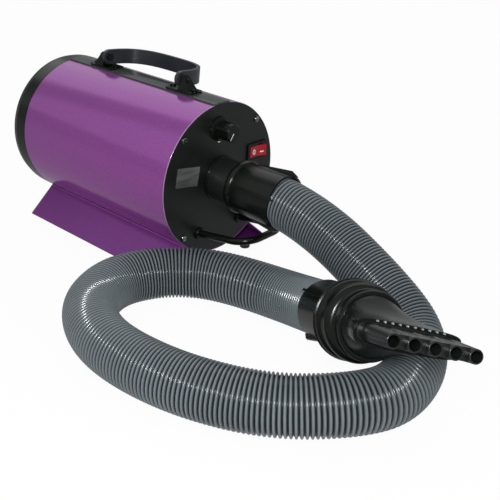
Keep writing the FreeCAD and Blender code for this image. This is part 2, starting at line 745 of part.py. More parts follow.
def rear_cap_screws():
    length = CAP_RING_FACE - CAP_BACK + RIM_RING_DEPTH - 2
    return Part.makeCompound([axial_screw(CAP_BACK, y, z, length, forward=False) for y, z in cap_boss_places()])


def filter_foam():
    return rod(FOAM_R, CAP_INSIDE, CAP_INSIDE + FOAM_THICK)


def filter_retainer():
    start = CAP_INSIDE + FOAM_THICK
    end = start + RETAINER_THICK
    plate = ring(RETAINER_R, FOAM_R - 4, start, end)
    for degrees in (0, 90):
        bar = block(start, end, -FOAM_R, FOAM_R, -RETAINER_BAR / 2, RETAINER_BAR / 2)
        plate = plate.fuse(turn_about_axis(bar, degrees))
    holes = [rod(CAP_BOSS_R, start, end, y, z) for y, z in cap_boss_places()]
    return plate.cut(Part.makeCompound(holes)).removeSplitter()


def cord_gland():
    """The strain relief that the supply cord goes through, with a flange outside and a clip inside."""
    gland = turned([
        (CAP_BACK - GLAND_REACH, GLAND_BORE_R), (CAP_BACK - GLAND_REACH, GLAND_R - 2), (CAP_BACK - 2, GLAND_R - 0.5),
        (CAP_BACK - 2, GLAND_R + 2), (CAP_BACK, GLAND_R + 2), (CAP_BACK, GLAND_R), (CAP_INSIDE, GLAND_R),
        (CAP_INSIDE, GLAND_R + 1), (CAP_INSIDE + GLAND_INSIDE, GLAND_R - 1), (CAP_INSIDE + GLAND_INSIDE, GLAND_BORE_R),
    ])
    gland.translate(V(0, 0, -GLAND_DROP))
    return gland


# Motor and fan

def bulkhead(start, eye):
    return ring(SHELL_R, eye, start, start + BULKHEAD_THICK)


def rear_motor_gasket():
    start = REAR_BULKHEAD + BULKHEAD_THICK
    return ring(FAN_R - 1, BULKHEAD_EYE_R, start, start + MOTOR_GASKET_THICK)


def fan_shroud():
    can = ring(FAN_R, FAN_R - FAN_WALL, FAN_FACE, FAN_FRONT)
    back = ring(FAN_R, FAN_EYE_R, FAN_FACE, FAN_FACE + FAN_WALL)
    front = ring(FAN_R, MOTOR_R - MOTOR_WALL, FAN_FRONT - FAN_WALL, FAN_FRONT)
    return can.fuse([back, front]).removeSplitter()


def fan_blade():
    """One backward curved blade: two arcs from the hub to the rim, a small turn apart, raised along x."""
    half_turn = math.degrees(BLADE_THICK / IMPELLER_R) / 2
    stops = [(HUB_R + 6, 0), ((HUB_R + IMPELLER_R) / 2, BLADE_SWEEP * 0.4), (IMPELLER_R - 0.5, BLADE_SWEEP)]
    lines = []
    for turn in (-half_turn, half_turn):
        points = [V(0, *on_circle(radius, degrees + turn)) for radius, degrees in stops]
        lines.append(Part.Arc(*points).toShape())
    first, second = lines
    ends = [Part.makeLine(first.Vertexes[k].Point, second.Vertexes[k].Point) for k in (0, 1)]
    outline = Part.Wire(Part.__sortEdges__([first, second] + ends))
    return Part.Face(outline).extrude(V(IMPELLER_DEPTH - IMPELLER_PLATE, 0, 0))


def impeller():
    start = FAN_FACE + FAN_WALL + 3
    end = start + IMPELLER_DEPTH
    eye_plate = ring(IMPELLER_R, FAN_EYE_R, start, start + IMPELLER_PLATE)
    back_plate = rod(IMPELLER_R, end - IMPELLER_PLATE, end)
    hub = rod(HUB_R, start, end)
    blade = fan_blade()
    blade.translate(V(start + IMPELLER_PLATE / 2, 0, 0))
    blades = [turn_about_axis(blade, a) for a in around(BLADE_COUNT)]
    wheel = eye_plate.fuse([back_plate, hub] + blades)
    return wheel.cut(rod(SHAFT_R, start, end)).removeSplitter()


def spider(start, hole):
    """A motor end with three arms that carry a bearing seat."""
    rim = ring(MOTOR_R - MOTOR_WALL, MOTOR_R - 2 * MOTOR_WALL, start, start + SPIDER_THICK)
    seat = rod(BEARING_R + BEARING_SEAT_WALL, start, start + SPIDER_THICK)
    arm = block(start, start + SPIDER_THICK, 0, MOTOR_R - MOTOR_WALL - 1, -SPIDER_ARM / 2, SPIDER_ARM / 2)
    arms = [turn_about_axis(arm, a) for a in around(3, 90)]
    return rim.fuse([seat] + arms).cut(rod(hole, start, start + SPIDER_THICK)).removeSplitter()


def motor_frame():
    tube = ring(MOTOR_R, MOTOR_R - MOTOR_WALL, FAN_FRONT, MOTOR_FRONT)
    flange = ring(MOTOR_R + 8, MOTOR_R - MOTOR_WALL, FAN_FRONT, FAN_FRONT + 2)
    return tube.fuse([flange, spider(FAN_FRONT, BEARING_R)]).removeSplitter()


def motor_end_bracket():
    return spider(MOTOR_FRONT - SPIDER_THICK, BEARING_R)


def bearing(start):
    return ring(BEARING_R, SHAFT_R + SHAFT_CLEARANCE, start, start + SPIDER_THICK)


def armature_start():
    return FAN_FRONT + SPIDER_THICK + 12


def motor_shaft():
    return rod(SHAFT_R, FAN_FACE + 1, MOTOR_FRONT + 3)


def armature_core():
    start = armature_start()
    end = start + ARMATURE_LENGTH
    core = ring(ARMATURE_R, SHAFT_R, start, end)
    width, depth = ARMATURE_SLOT
    slot = block(start, end, ARMATURE_R - depth, ARMATURE_R + 1, -width / 2, width / 2)
    return core.cut(Part.makeCompound([turn_about_axis(slot, a) for a in around(SLOT_COUNT)]))


def armature_windings():
    start = armature_start()
    end = start + ARMATURE_LENGTH
    outer = ARMATURE_R - 2
    width, depth = ARMATURE_SLOT
    wire = block(start, end, ARMATURE_R - depth, ARMATURE_R - 1.5, -width / 2, width / 2)
    runs = [turn_about_axis(wire, a) for a in around(SLOT_COUNT)]
    ends = [ring(outer, SHAFT_R + 4, start - COIL_LENGTH, start), ring(outer, SHAFT_R + 4, end, end + COIL_LENGTH)]
    return ends[0].fuse([ends[1]] + runs).removeSplitter()


def commutator_start():
    return armature_start() + ARMATURE_LENGTH + COIL_LENGTH


def commutator():
    start = commutator_start()
    drum = ring(COMMUTATOR_R, SHAFT_R, start, start + COMMUTATOR_LENGTH)
    slit = block(start + 2, start + COMMUTATOR_LENGTH, COMMUTATOR_R - 1, COMMUTATOR_R + 1, -0.4, 0.4)
    return drum.cut(Part.makeCompound([turn_about_axis(slit, a) for a in around(2 * SLOT_COUNT)]))


def coil_blocks(overhang, inner):
    """Blocks for the field coils, one on each side of the armature, from an inner distance outwards."""
    width, depth = STATOR_WINDOW
    start = armature_start() - overhang
    end = armature_start() + ARMATURE_LENGTH + overhang
    outer = ARMATURE_R + AIR_GAP + depth
    return [block(start, end, inner, outer, -width / 2, width / 2),
            block(start, end, -outer, -inner, -width / 2, width / 2)]


def stator_core():
    start = armature_start()
    core = ring(MOTOR_R - MOTOR_WALL, ARMATURE_R + AIR_GAP, start, start + ARMATURE_LENGTH)
    return core.cut(Part.makeCompound(coil_blocks(0, ARMATURE_R / 2)))


def stator_windings():
    return Part.makeCompound(coil_blocks(COIL_LENGTH - 2, ARMATURE_R + AIR_GAP + 1))


def brush_block(size, inner, outer):
    """A square bar across the commutator, reaching out from it to one side."""
    middle = commutator_start() + COMMUTATOR_LENGTH / 2 + 1
    return block(middle - size / 2, middle + size / 2, inner, outer, -size / 2, size / 2)


def brush_holders():
    wall_r = MOTOR_R - MOTOR_WALL - GAP
    outer = brush_block(BRUSH_SIZE + 2 * HOLDER_WALL, COMMUTATOR_R + 2, wall_r)
    inner = brush_block(BRUSH_SIZE, COMMUTATOR_R, wall_r - 3)
    holder = outer.cut(inner)
    return Part.makeCompound([turn_about_axis(holder, a) for a in (0, 180)])


def carbon_brushes():
    brush = brush_block(BRUSH_SIZE - 2 * FIT, COMMUTATOR_R + SHAFT_CLEARANCE, COMMUTATOR_R + BRUSH_LENGTH)
    return Part.makeCompound([turn_about_axis(brush, a) for a in (0, 180)])


def acoustic_liner():
    start = REAR_BULKHEAD + BULKHEAD_THICK
    return ring(SHELL_R, SHELL_R - LINER_THICK, start, start + LINER_LENGTH)


def outlet_duct():
    """A funnel from the motor's bulkhead to the back of the outlet flange."""
    rear = FRONT_BULKHEAD + BULKHEAD_THICK
    straight = FLANGE_BACK - DUCT_STRAIGHT
    front_r = SPIGOT_FLANGE_R
    return turned([
        (rear, DUCT_REAR_R - DUCT_WALL), (rear, DUCT_REAR_R + 6), (rear + 2, DUCT_REAR_R + 6), (rear + 2, DUCT_REAR_R),
        (straight, front_r), (FLANGE_BACK, front_r), (FLANGE_BACK, front_r - DUCT_WALL),
        (straight, front_r - DUCT_WALL),
    ])


# Speed control

def standoff_places():
    width, height = BOARD_SIZE
    return [(y * (width / 2 - 4), -BOARD_DROP + z * (height / 2 - 4)) for y, z in ((-1, -1), (1, -1), (-1, 1), (1, 1))]


def board_face():
    return PANEL_BACK - BOARD_STANDOFF


def control_board():
    width, height = BOARD_SIZE
    start = board_face() - BOARD_THICK
    board = block(start, board_face(), -width / 2, width / 2, -BOARD_DROP - height / 2, -BOARD_DROP + height / 2)
    triac = block(start - 4, start, -5, 5, -BOARD_DROP - 12, -BOARD_DROP + 2)
    choke = rod(5, start - 9, start, 14, -BOARD_DROP - 2)
    capacitor = block(start - 8, start, -20, -11, -BOARD_DROP - 10, -BOARD_DROP + 4)
    return board.fuse([triac, choke, capacitor]).removeSplitter()


def board_standoffs():
    return Part.makeCompound([rod(STANDOFF_R, board_face(), PANEL_BACK, y, z) for y, z in standoff_places()])


def heat_sink():
    depth, width, height = HEAT_SINK_SIZE
    end = board_face() - BOARD_THICK - 4
    low = -BOARD_DROP - 12
    sink = block(end - depth, end, -5, 5, low, low + height)
    step = HEAT_SINK_FIN * 2
    channel = low + HEAT_SINK_FIN
    while channel < low + height - HEAT_SINK_FIN:
        sink = sink.cut(block(end - depth, end - 2, -width / 2, width / 2, channel, channel + HEAT_SINK_FIN))
        channel += step
    return sink


# Handle

def handle_line(offset, degrees):
    """A point of the handle's bow, seen from above, moved outwards by the offset."""
    angle = math.radians(degrees)
    share = 2 / HANDLE_POWER
    c, s = math.cos(angle), math.sin(angle)
    x = HANDLE_HALF * math.copysign(abs(c) ** share, c)
    y = HANDLE_REACH * max(s, 0) ** share
    if offset == 0:
        return V(x, y, 0)
    step = 0.5
    ahead = handle_line(0, min(degrees + step, 180))
    behind = handle_line(0, max(degrees - step, 0))
    along = (ahead - behind).normalize()
    return V(x, y, 0) + V(along.y, -along.x, 0) * offset


def handle_band():
    """The carrying handle: a flat strap bent into a bow, with an eye at each end."""
    turns = [180.0 * k / (BAND_POINTS - 1) for k in range(BAND_POINTS)]
    edges = []
    for offset in (BAND_THICK / 2, -BAND_THICK / 2):
        curve = Part.BSplineCurve()
        curve.interpolate([handle_line(offset, t) for t in turns])
        edges.append(curve.toShape())
    outer, inner = edges
    ends = [Part.makeLine(outer.Vertexes[k].Point, inner.Vertexes[k].Point) for k in (0, 1)]
    outline = Part.Wire(Part.__sortEdges__([outer, inner] + ends))
    bow = Part.Face(outline).extrude(V(0, 0, BAND_WIDTH))
    bow.translate(V(0, 0, -BAND_WIDTH / 2))
    eyes = [rod(BAND_WIDTH / 2, way * HANDLE_HALF - BAND_THICK / 2, way * HANDLE_HALF + BAND_THICK / 2)
            for way in (-1, 1)]
    bore = rod(PIN_R + SHAFT_CLEARANCE, -2 * HANDLE_HALF, 2 * HANDLE_HALF)
    band = bow.fuse(eyes).cut(bore)
    band = turn_about_axis(band, -HANDLE_DROOP)
    band.translate(V(-HANDLE_MIDDLE, 0, PIVOT_Z))
    return band


def handle_bracket(way):
    """A foot on the rail and a tent-shaped cheek that holds the pin, outside the handle's eye."""
    length, width, thick = BRACKET_FOOT
    foot = block(-length, 0, -width / 2, width / 2, RAIL_TOP - 1, RAIL_TOP + thick)
    foot = foot.makeFillet(4.0, [e for e in foot.Edges if abs(e.BoundBox.ZLength - e.Length) < 1e-3])
    foot.translate(V(HANDLE_HALF + BRACKET_FOOT_AHEAD, 0, 0))
    near_face = HANDLE_HALF + BAND_THICK / 2 + GAP
    base = RAIL_TOP + thick - 0.5
    top = PIVOT_Z + TENT_TOP
    half = TENT_WIDTH / 2
    outline = [(near_face, base), (near_face, top - 1), (near_face + 2, top), (near_face + TENT_NOSE, top),
               (near_face + TENT_LENGTH, base)]
    points = [V(x, -half, z) for x, z in outline]
    tent = Part.Face(Part.makePolygon(points + points[:1])).extrude(V(0, TENT_WIDTH, 0))
    taper_points = [V(0, -half, base), V(0, -TENT_NOSE / 2, top), V(0, TENT_NOSE / 2, top), V(0, half, base)]
    taper = Part.Face(Part.makePolygon(taper_points + taper_points[:1])).extrude(V(2 * HANDLE_HALF, 0, 0))
    bracket = foot.fuse(tent.common(taper))
    bracket = bracket.cut(rod(RAIL_TOP, 0, 2 * HANDLE_HALF))
    bracket = bracket.cut(rod(PIN_R, 0, near_face + TENT_LENGTH * 0.7, 0, PIVOT_Z)).removeSplitter()
    if way < 0:
        bracket = bracket.mirror(V(0, 0, 0), AHEAD)
    bracket.translate(V(-HANDLE_MIDDLE, 0, 0))
    for x in bracket_screw_places():
        bracket = bracket.cut(upright_hole(SCREW_SHANK_R + FIT, x, 0))
    return bracket


def handle_bracket_screws():
    seat = RAIL_TOP + BRACKET_FOOT[2]
    return Part.makeCompound([upright_screw(x, 0, seat, seat - SHELL_R) for x in bracket_screw_places()])


def handle_pins():
    pins = []
    for way in (-1, 1):
        inner = HANDLE_HALF - BAND_THICK / 2 - GAP
        deep = HANDLE_HALF + BAND_THICK / 2 + GAP + TENT_LENGTH * 0.7
        head = rod(PIN_HEAD_R, inner - PIN_HEAD, inner)
        pin = head.fuse(rod(PIN_R, inner - PIN_HEAD, deep)).removeSplitter()
        if way < 0:
            pin = pin.mirror(V(0, 0, 0), AHEAD)
        pin.translate(V(-HANDLE_MIDDLE, 0, PIVOT_Z))
        pins.append(pin)
    return Part.makeCompound(pins)


# Hose

def rounded_path(points, radii):
    """Edges along straight runs, with a tangent arc of the given radius at each inner point."""
    edges = []
    last = points[0]
    for k, radius in enumerate(radii, 1):
        corner = points[k]
        before = (points[k - 1] - corner).normalize()
        after = (points[k + 1] - corner).normalize()
        half_turn = (math.pi - before.getAngle(after)) / 2
        reach = radius * math.tan(half_turn)
        start, end = corner + before * reach, corner + after * reach
        bisector = (before + after).normalize()
        middle = corner + bisector * (radius / math.cos(half_turn) - radius)
        edges.append(Part.makeLine(last, start))
        edges.append(Part.Arc(start, middle, end).toShape())
        last = end
    edges.append(Part.makeLine(last, points[-1]))
    return edges


def route_radii(points):
    """Each corner's arc takes the same share of its shorter run."""
    radii = []
    for k in range(1, len(points) - 1):
        before, after = points[k - 1] - points[k], points[k + 1] - points[k]
        half_turn = (math.pi - before.getAngle(after)) / 2
        radii.append(ARC_SHARE * min(before.Length, after.Length) / math.tan(half_turn))
    return radii


def hose_route():
    axis = NOZZLE_TURN.multVec(AHEAD)
    start = V(HOSE_START, 0, 0)
    last_bend = NOZZLE_RIM - axis * LAST_BEND_BEFORE_RIM
    end = NOZZLE_RIM + axis * HOSE_IN_CUFF
    return [start] + HOSE_BENDS + [last_bend, end]


def places_along(edges, distances):
    """Points and directions at the given distances along a chain of edges, which run in order."""
    places = []
    k, passed = 0, 0.0
    for distance in distances:
        while k < len(edges) - 1 and distance > passed + edges[k].Length:
            passed += edges[k].Length
            k += 1
        edge = edges[k]
        parameter = edge.getParameterByLength(min(distance - passed, edge.Length))
        places.append((edge.valueAt(parameter), edge.tangentAt(parameter)))
    return places


def hoop(place, radius):
    """A circle across the hose whose own x axis stays level, so that neighbours don't twist."""
    point, along = place
    level = UP.cross(along).normalize()
    circle = Part.Wire(Part.Circle(V(0, 0, 0), UP, radius).toShape())
    circle.Placement = FreeCAD.Placement(point, FreeCAD.Rotation(level, along.cross(level), along, "ZXY"))
    return circle


def hose():
    """A ribbed hose with its bore. Each rib is four hoops: it rises, runs level, falls and meets the next."""
    route = hose_route()
    radii = route_radii(route)
    edges = rounded_path(route, radii)
    length = sum(e.Length for e in edges)
    pitch = length / RIB_COUNT
    valley_r = HOSE_R - RIB_DEPTH
    flank = pitch * RIB_FLANK_SHARE
    crest = pitch * RIB_CREST_SHARE
    rib = [(0, valley_r), (flank, HOSE_R), (flank + crest, HOSE_R), (2 * flank + crest, valley_r)]
    steps = [(k * pitch + d, r) for k in range(RIB_COUNT) for d, r in rib] + [(length, valley_r)]
    places = places_along(edges, [d for d, r in steps])
    outer_hoops = [hoop(place, r) for place, (d, r) in zip(places, steps)]
    bore_hoops = [hoop(place, HOSE_BORE_R) for place in places[::len(rib)]]
    tube = Part.makeLoft(outer_hoops, True, True).cut(Part.makeLoft(bore_hoops, True, True))
    crest_area = math.pi * (HOSE_R ** 2 - HOSE_BORE_R ** 2)
    flank_r = (HOSE_R + valley_r) / 2
    mean_area = (crest_area * RIB_CREST_SHARE + math.pi * (flank_r ** 2 - HOSE_BORE_R ** 2) * 2 * RIB_FLANK_SHARE
                 + math.pi * (valley_r ** 2 - HOSE_BORE_R ** 2) * (1 - RIB_CREST_SHARE - 2 * RIB_FLANK_SHARE))
    print("hose length", round(length, 1), "pitch", round(pitch, 2))
    print("hose arc radii", [round(r) for r in radii])
    print("hose volume over section times length", round(tube.Volume / (mean_area * length), 4))
    print("hose solid is whole", tube.isValid(), "least gap between its turns", round(least_turn_gap(edges, length), 1))
    return tube


def least_turn_gap(edges, length):
    """The smallest distance between stretches of the hose that are well apart along it."""
    count = 160
    points = [p for p, t in places_along(edges, [length * k / (count - 1) for k in range(count)])]
    apart = int(4 * HOSE_R * count / length)
    gaps = [points[i].distanceToPoint(points[j]) for i in range(count) for j in range(i + apart, count)]
    return min(gaps) - 2 * HOSE_R


# Nozzle

def nozzle_cuff():
    return placed_on_nozzle(turn_about_axis(cuff(), NOZZLE_CUFF_TURN))


def placed_on_nozzle(shape):
    moved = shape.copy()
    moved.Placement = NOZZLE_POSE.multiply(moved.Placement)
    return moved


def collar_start():
    return CUFF_LENGTH + GAP


def neck_start():
    return collar_start() + COLLAR_LENGTH + GAP


def nozzle_collar():
    """The big grip ring behind the nozzle, which slips over its tail."""
    start = collar_start()
    end = start + COLLAR_LENGTH
    ring_start = end - COLLAR_END_RING
    bead_start, bead_end = [start + place for place in COLLAR_BEAD]
    valley_start, valley_end = [start + place for place in COLLAR_VALLEY]
    return placed_on_nozzle(turned([
        (start, SPIGOT_R), *bead(start, start + COLLAR_LIP, COLLAR_R - CREST, COLLAR_R),
        *bead(bead_start, bead_end, COLLAR_BEAD_R - 2 * CREST, COLLAR_BEAD_R),
        (valley_start, COLLAR_VALLEY_R), (valley_end, COLLAR_VALLEY_R),
        ((start + COLLAR_RIDGE_PLACE, COLLAR_RIDGE_R), (ring_start, COLLAR_NECK_R)),
        ((ring_start + COLLAR_END_RING / 2, COLLAR_NECK_R + CREST), (end, COLLAR_NECK_R)), (end, SPIGOT_R),
    ]))


def section(x, half_width, half_height, power):
    """A closed curve across the nozzle: an ellipse at power 2, squarer above that."""
    share = 2 / power
    points = []
    for degrees in around(FAN_EDGE_POINTS, 180.0 / FAN_EDGE_POINTS):
        c, s = on_circle(1.0, degrees)
        y = half_width * math.copysign(abs(c) ** share, c)
        z = half_height * math.copysign(abs(s) ** share, s)
        points.append(V(x, y, z))
    curve = Part.BSplineCurve()
    curve.interpolate(points, PeriodicFlag=True)
    return Part.Wire(curve.toShape())


def fan_skin(wall):
    """The nozzle's flare from its round neck to its wide flat mouth, with its skin moved in by a wall."""
    start = neck_start() + NECK_LENGTH - FLARE_ROOT_DEPTH
    sections = []
    for k in range(FAN_SECTIONS):
        t = k / (FAN_SECTIONS - 1)
        spread = t * t * (3 - 2 * t)
        drop = 1 - (1 - t) ** 2
        wide = FLARE_ROOT_R + (MOUTH_HALF_WIDTH - FLARE_ROOT_R) * spread
        high = FLARE_ROOT_R + (MOUTH_HALF_HEIGHT - FLARE_ROOT_R) * drop
        power = 2 + (MOUTH_POWER - 2) * t * t
        sections.append(section(start + (MOUTH_PLACE - start) * t, wide - wall, high - wall, power))
    return Part.makeLoft(sections, True, False)


def nozzle_body():
    start = neck_start()
    end = start + NECK_LENGTH
    tail = HOSE_IN_CUFF + GAP
    bore = SPIGOT_R - NOZZLE_SPIGOT_WALL
    neck_r = FLARE_ROOT_R + 0.6
    neck = turned([
        (tail, bore), (tail, SPIGOT_R - FIT), (start, SPIGOT_R - FIT), (start, neck_r),
        *bead(end - NECK_RING_LENGTH, end, neck_r, NECK_RING_R),
        (end, FLARE_ROOT_R - NOZZLE_WALL - 1), (start + 4, bore),
    ])
    flare = fan_skin(0).cut(fan_skin(NOZZLE_WALL))
    body = neck.fuse(flare)
    return placed_on_nozzle(body.cut(bristle_holes()))


def tube_places():
    return [(k - (TUBE_COUNT - 1) / 2) * TUBE_PITCH for k in range(TUBE_COUNT)]


def nozzle_comb():
    """Five tapered air fingers, joined by a web, on a plate that closes the nozzle's mouth."""
    start = MOUTH_PLACE - COMB_SETBACK - COMB_PLATE
    end = MOUTH_PLACE - COMB_SETBACK
    inset = NOZZLE_WALL + GAP
    plate_outline = section(start, MOUTH_HALF_WIDTH - inset - 2 * GAP, MOUTH_HALF_HEIGHT - inset, MOUTH_POWER)
    plate = Part.Face(plate_outline).extrude(V(COMB_PLATE, 0, 0))
    web_end = TUBE_TIP - COMB_WEB_SETBACK
    root_z, tip_z = TUBE_ROOT_R - COMB_WEB_STEP, TUBE_TIP_R - COMB_WEB_STEP
    last_y = tube_places()[-1]
    web_points = [V(end, -last_y, -root_z), V(web_end, -last_y, -tip_z), V(web_end, -last_y, tip_z),
                  V(end, -last_y, root_z)]
    web = Part.Face(Part.makePolygon(web_points + web_points[:1])).extrude(V(0, 2 * last_y, 0))
    fingers, bores = [], []
    for y in tube_places():
        finger = Part.makeCone(TUBE_ROOT_R, TUBE_TIP_R, TUBE_TIP - end, V(end, y, 0), AHEAD)
        fingers.append(finger.makeFillet(0.7, [far_circle(finger, 1)]))
        bores.append(rod(TUBE_BORE_R, start, TUBE_TIP, y))
    comb = plate.fuse(fingers + [web]).cut(Part.makeCompound(bores))
    return placed_on_nozzle(comb.removeSplitter())


def bristle_places():
    return [(k - (BRISTLE_COUNT - 1) / 2) * BRISTLE_PITCH for k in range(BRISTLE_COUNT)]


def bristle_height(y):
    """The middle of the mouth's upper wall at a distance from its centre line."""
    heights = []
    for inset in (0, NOZZLE_WALL):
        rest = 1 - (abs(y) / (MOUTH_HALF_WIDTH - inset)) ** MOUTH_POWER
        heights.append((MOUTH_HALF_HEIGHT - inset) * rest ** (1 / MOUTH_POWER))
    return sum(heights) / 2


def bristle_holes():
    pins = [rod(BRISTLE_R, MOUTH_PLACE - BRISTLE_ROOT, MOUTH_PLACE, y, bristle_height(y)) for y in bristle_places()]
    return Part.makeCompound(pins)


def nozzle_bristles():
    """The row of small pins along the upper lip of the mouth."""
    pins = []
    for y in bristle_places():
        tip = MOUTH_PLACE + BRISTLE_REACH
        pin = rod(BRISTLE_R, MOUTH_PLACE - BRISTLE_ROOT, tip, y, bristle_height(y))
        pins.append(pin.makeFillet(BRISTLE_R * 0.8, [far_circle(pin, 1)]))
    return placed_on_nozzle(Part.makeCompound(pins))


PIECES = {
    "body_shell": body_shell,
    "top_rail": top_rail,
    "base_stand": base_stand,
    "base_stand_screws": stand_screws,
    "base_feet": base_feet,
    "front_mounting_ring": front_mounting_ring,
    "front_panel": front_panel,
    "front_panel_screws": front_panel_screws,
    "data_plate": data_plate,
    "outlet_spigot": outlet_spigot,
    "outlet_gasket": outlet_gasket,
    "outlet_trim_ring": outlet_trim_ring,
    "outlet_cuff": outlet_cuff,
    "switch_housing": switch_housing,
    "switch_rocker": switch_rocker,
    "potentiometer_body": potentiometer_body,
    "potentiometer_nut": potentiometer_nut,
    "potentiometer_shaft": potentiometer_shaft,
    "speed_knob": speed_knob,
    "front_bail": front_bail,
    "bail_nuts": bail_nuts,
    "rear_cap": rear_cap,
    "rear_mounting_ring": rear_mounting_ring,
    "rear_cap_screws": rear_cap_screws,
    "filter_foam": filter_foam,
    "filter_retainer": filter_retainer,
    "cord_gland": cord_gland,
    "rear_bulkhead": lambda: bulkhead(REAR_BULKHEAD, BULKHEAD_EYE_R),
    "rear_motor_gasket": rear_motor_gasket,
    "fan_shroud": fan_shroud,
    "impeller": impeller,
    "motor_frame": motor_frame,
    "motor_end_bracket": motor_end_bracket,
    "front_bulkhead": lambda: bulkhead(FRONT_BULKHEAD, MOTOR_R),
    "rear_bearing": lambda: bearing(FAN_FRONT),
    "front_bearing": lambda: bearing(MOTOR_FRONT - SPIDER_THICK),
    "motor_shaft": motor_shaft,
    "armature_core": armature_core,
    "armature_windings": armature_windings,
    "commutator": commutator,
    "stator_core": stator_core,
    "stator_windings": stator_windings,
    "brush_holders": brush_holders,
    "carbon_brushes": carbon_brushes,
    "acoustic_liner": acoustic_liner,
    "outlet_duct": outlet_duct,
    "control_board": control_board,
    "board_standoffs": board_standoffs,
    "heat_sink": heat_sink,
    "handle_band": handle_band,
    "front_handle_bracket": lambda: handle_bracket(1),
    "rear_handle_bracket": lambda: handle_bracket(-1),
    "handle_bracket_screws": handle_bracket_screws,
    "handle_pins": handle_pins,
    "hose": hose,
    "nozzle_cuff": nozzle_cuff,
    "nozzle_collar": nozzle_collar,
    "nozzle_body": nozzle_body,
    "nozzle_comb": nozzle_comb,
    "nozzle_bristles": nozzle_bristles,
}

os.makedirs("parts", exist_ok=True)
for node, make in PIECES.items():
    piece = put(node, make())
    if not piece.isValid():
        print("not valid:", node)
print(len(PIECES), "nodes written")
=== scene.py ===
import json
import math

import bpy
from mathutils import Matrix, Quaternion, Vector


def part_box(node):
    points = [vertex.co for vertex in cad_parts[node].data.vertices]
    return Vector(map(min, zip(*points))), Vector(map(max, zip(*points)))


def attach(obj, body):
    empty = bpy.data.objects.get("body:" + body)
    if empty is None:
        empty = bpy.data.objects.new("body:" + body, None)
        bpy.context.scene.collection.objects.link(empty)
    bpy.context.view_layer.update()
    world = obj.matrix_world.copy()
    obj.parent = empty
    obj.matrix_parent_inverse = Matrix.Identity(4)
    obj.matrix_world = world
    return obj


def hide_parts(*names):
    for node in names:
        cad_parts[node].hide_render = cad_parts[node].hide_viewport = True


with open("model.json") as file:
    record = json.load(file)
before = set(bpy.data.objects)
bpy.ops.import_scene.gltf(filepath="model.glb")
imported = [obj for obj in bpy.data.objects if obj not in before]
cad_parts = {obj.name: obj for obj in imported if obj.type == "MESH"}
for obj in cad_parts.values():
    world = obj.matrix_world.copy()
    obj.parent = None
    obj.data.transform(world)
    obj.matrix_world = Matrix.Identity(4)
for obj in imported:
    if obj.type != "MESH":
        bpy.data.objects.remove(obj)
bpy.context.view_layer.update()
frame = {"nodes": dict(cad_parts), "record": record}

# Looks of the pet dryer. Sizes and places are in millimetres from the middle of the drum's front rim, where
# x runs forward along the drum's axis, y to the switch side and z up, and at() turns them into the frame.

DRUM_LOW, DRUM_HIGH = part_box("body_shell")
PANEL_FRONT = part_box("front_panel")[1].x
AXIS_Z = (DRUM_LOW.z + DRUM_HIGH.z) / 2
MM = 0.001


def at(x, y, z):
    return Vector((PANEL_FRONT + x * MM, y * MM, AXIS_Z + z * MM))


# Camera

CAMERA_PLACE = (584.39, -618.68, 343.38)
CAMERA_YAW = math.radians(49.0837)
CAMERA_PITCH = math.radians(26.8914)
CAMERA_ROLL = math.radians(2.6404)
CAMERA_LENS = 59.477


def make_camera():
    data = bpy.data.cameras.new("photo_camera")
    data.lens = CAMERA_LENS
    data.sensor_width = 36
    camera = bpy.data.objects.new("photo_camera", data)
    bpy.context.scene.collection.objects.link(camera)
    level = math.cos(CAMERA_PITCH)
    ahead = Vector((-level * math.cos(CAMERA_YAW), level * math.sin(CAMERA_YAW), -math.sin(CAMERA_PITCH)))
    camera.rotation_mode = "QUATERNION"
    camera.rotation_quaternion = ahead.to_track_quat("-Z", "Y") @ Quaternion((0, 0, 1), CAMERA_ROLL)
    camera.location = at(*CAMERA_PLACE)
    bpy.context.scene.camera = camera


# Mesh helpers

def piece_from(name, points, faces, body, material, smooth=True):
    """A new piece from its points in metres and its faces, riding on a body."""
    mesh = bpy.data.meshes.new(name)
    mesh.from_pydata([tuple(p) for p in points], [], faces)
    mesh.validate()
    mesh.polygons.foreach_set("use_smooth", [smooth] * len(mesh.polygons))
    piece = bpy.data.objects.new(name, mesh)
    bpy.context.scene.collection.objects.link(piece)
    mesh.materials.append(material)
    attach(piece, body)
    return piece


# Hose: the route's points are control points of one smooth line, and the ribs wind round it as one thread

HOSE_ROUTE = [
    (45, 0, 0), (118, 0, 3), (251, -12, -52), (294, -39, -73), (310, -98, -77), (291, -145, -75),
    (241, -190, -78.5), (175, -219, -78.5), (109, -229, -78.5), (57, -223, -78.5), (15, -199, -78.5),
    (-5, -163, -78.5), (-6, -129, -78.5), (15, -88, -78.5), (59, -55, -78.5), (166, -37, -77),
    (239.7, -87, -37.3),
]
HOSE_R = 27.0
# The ribs' spacing in millimetres at shares of the hose's length. They lie closer where the hose is slack.
RIB_SPACING = [(0.0, 4.1), (0.07, 4.05), (0.11, 3.25), (0.19, 3.5), (0.33, 4.2), (0.42, 4.0), (0.62, 3.7),
               (0.78, 4.25), (1.0, 4.3)]
RIB_DEPTH = 2.6
RIB_HEIGHTS = (0.0, 0.45, 0.9, 1.0, 1.0, 0.9, 0.45, 0.0)
HOSE_SIDES = 44
LINE_STEPS = 24


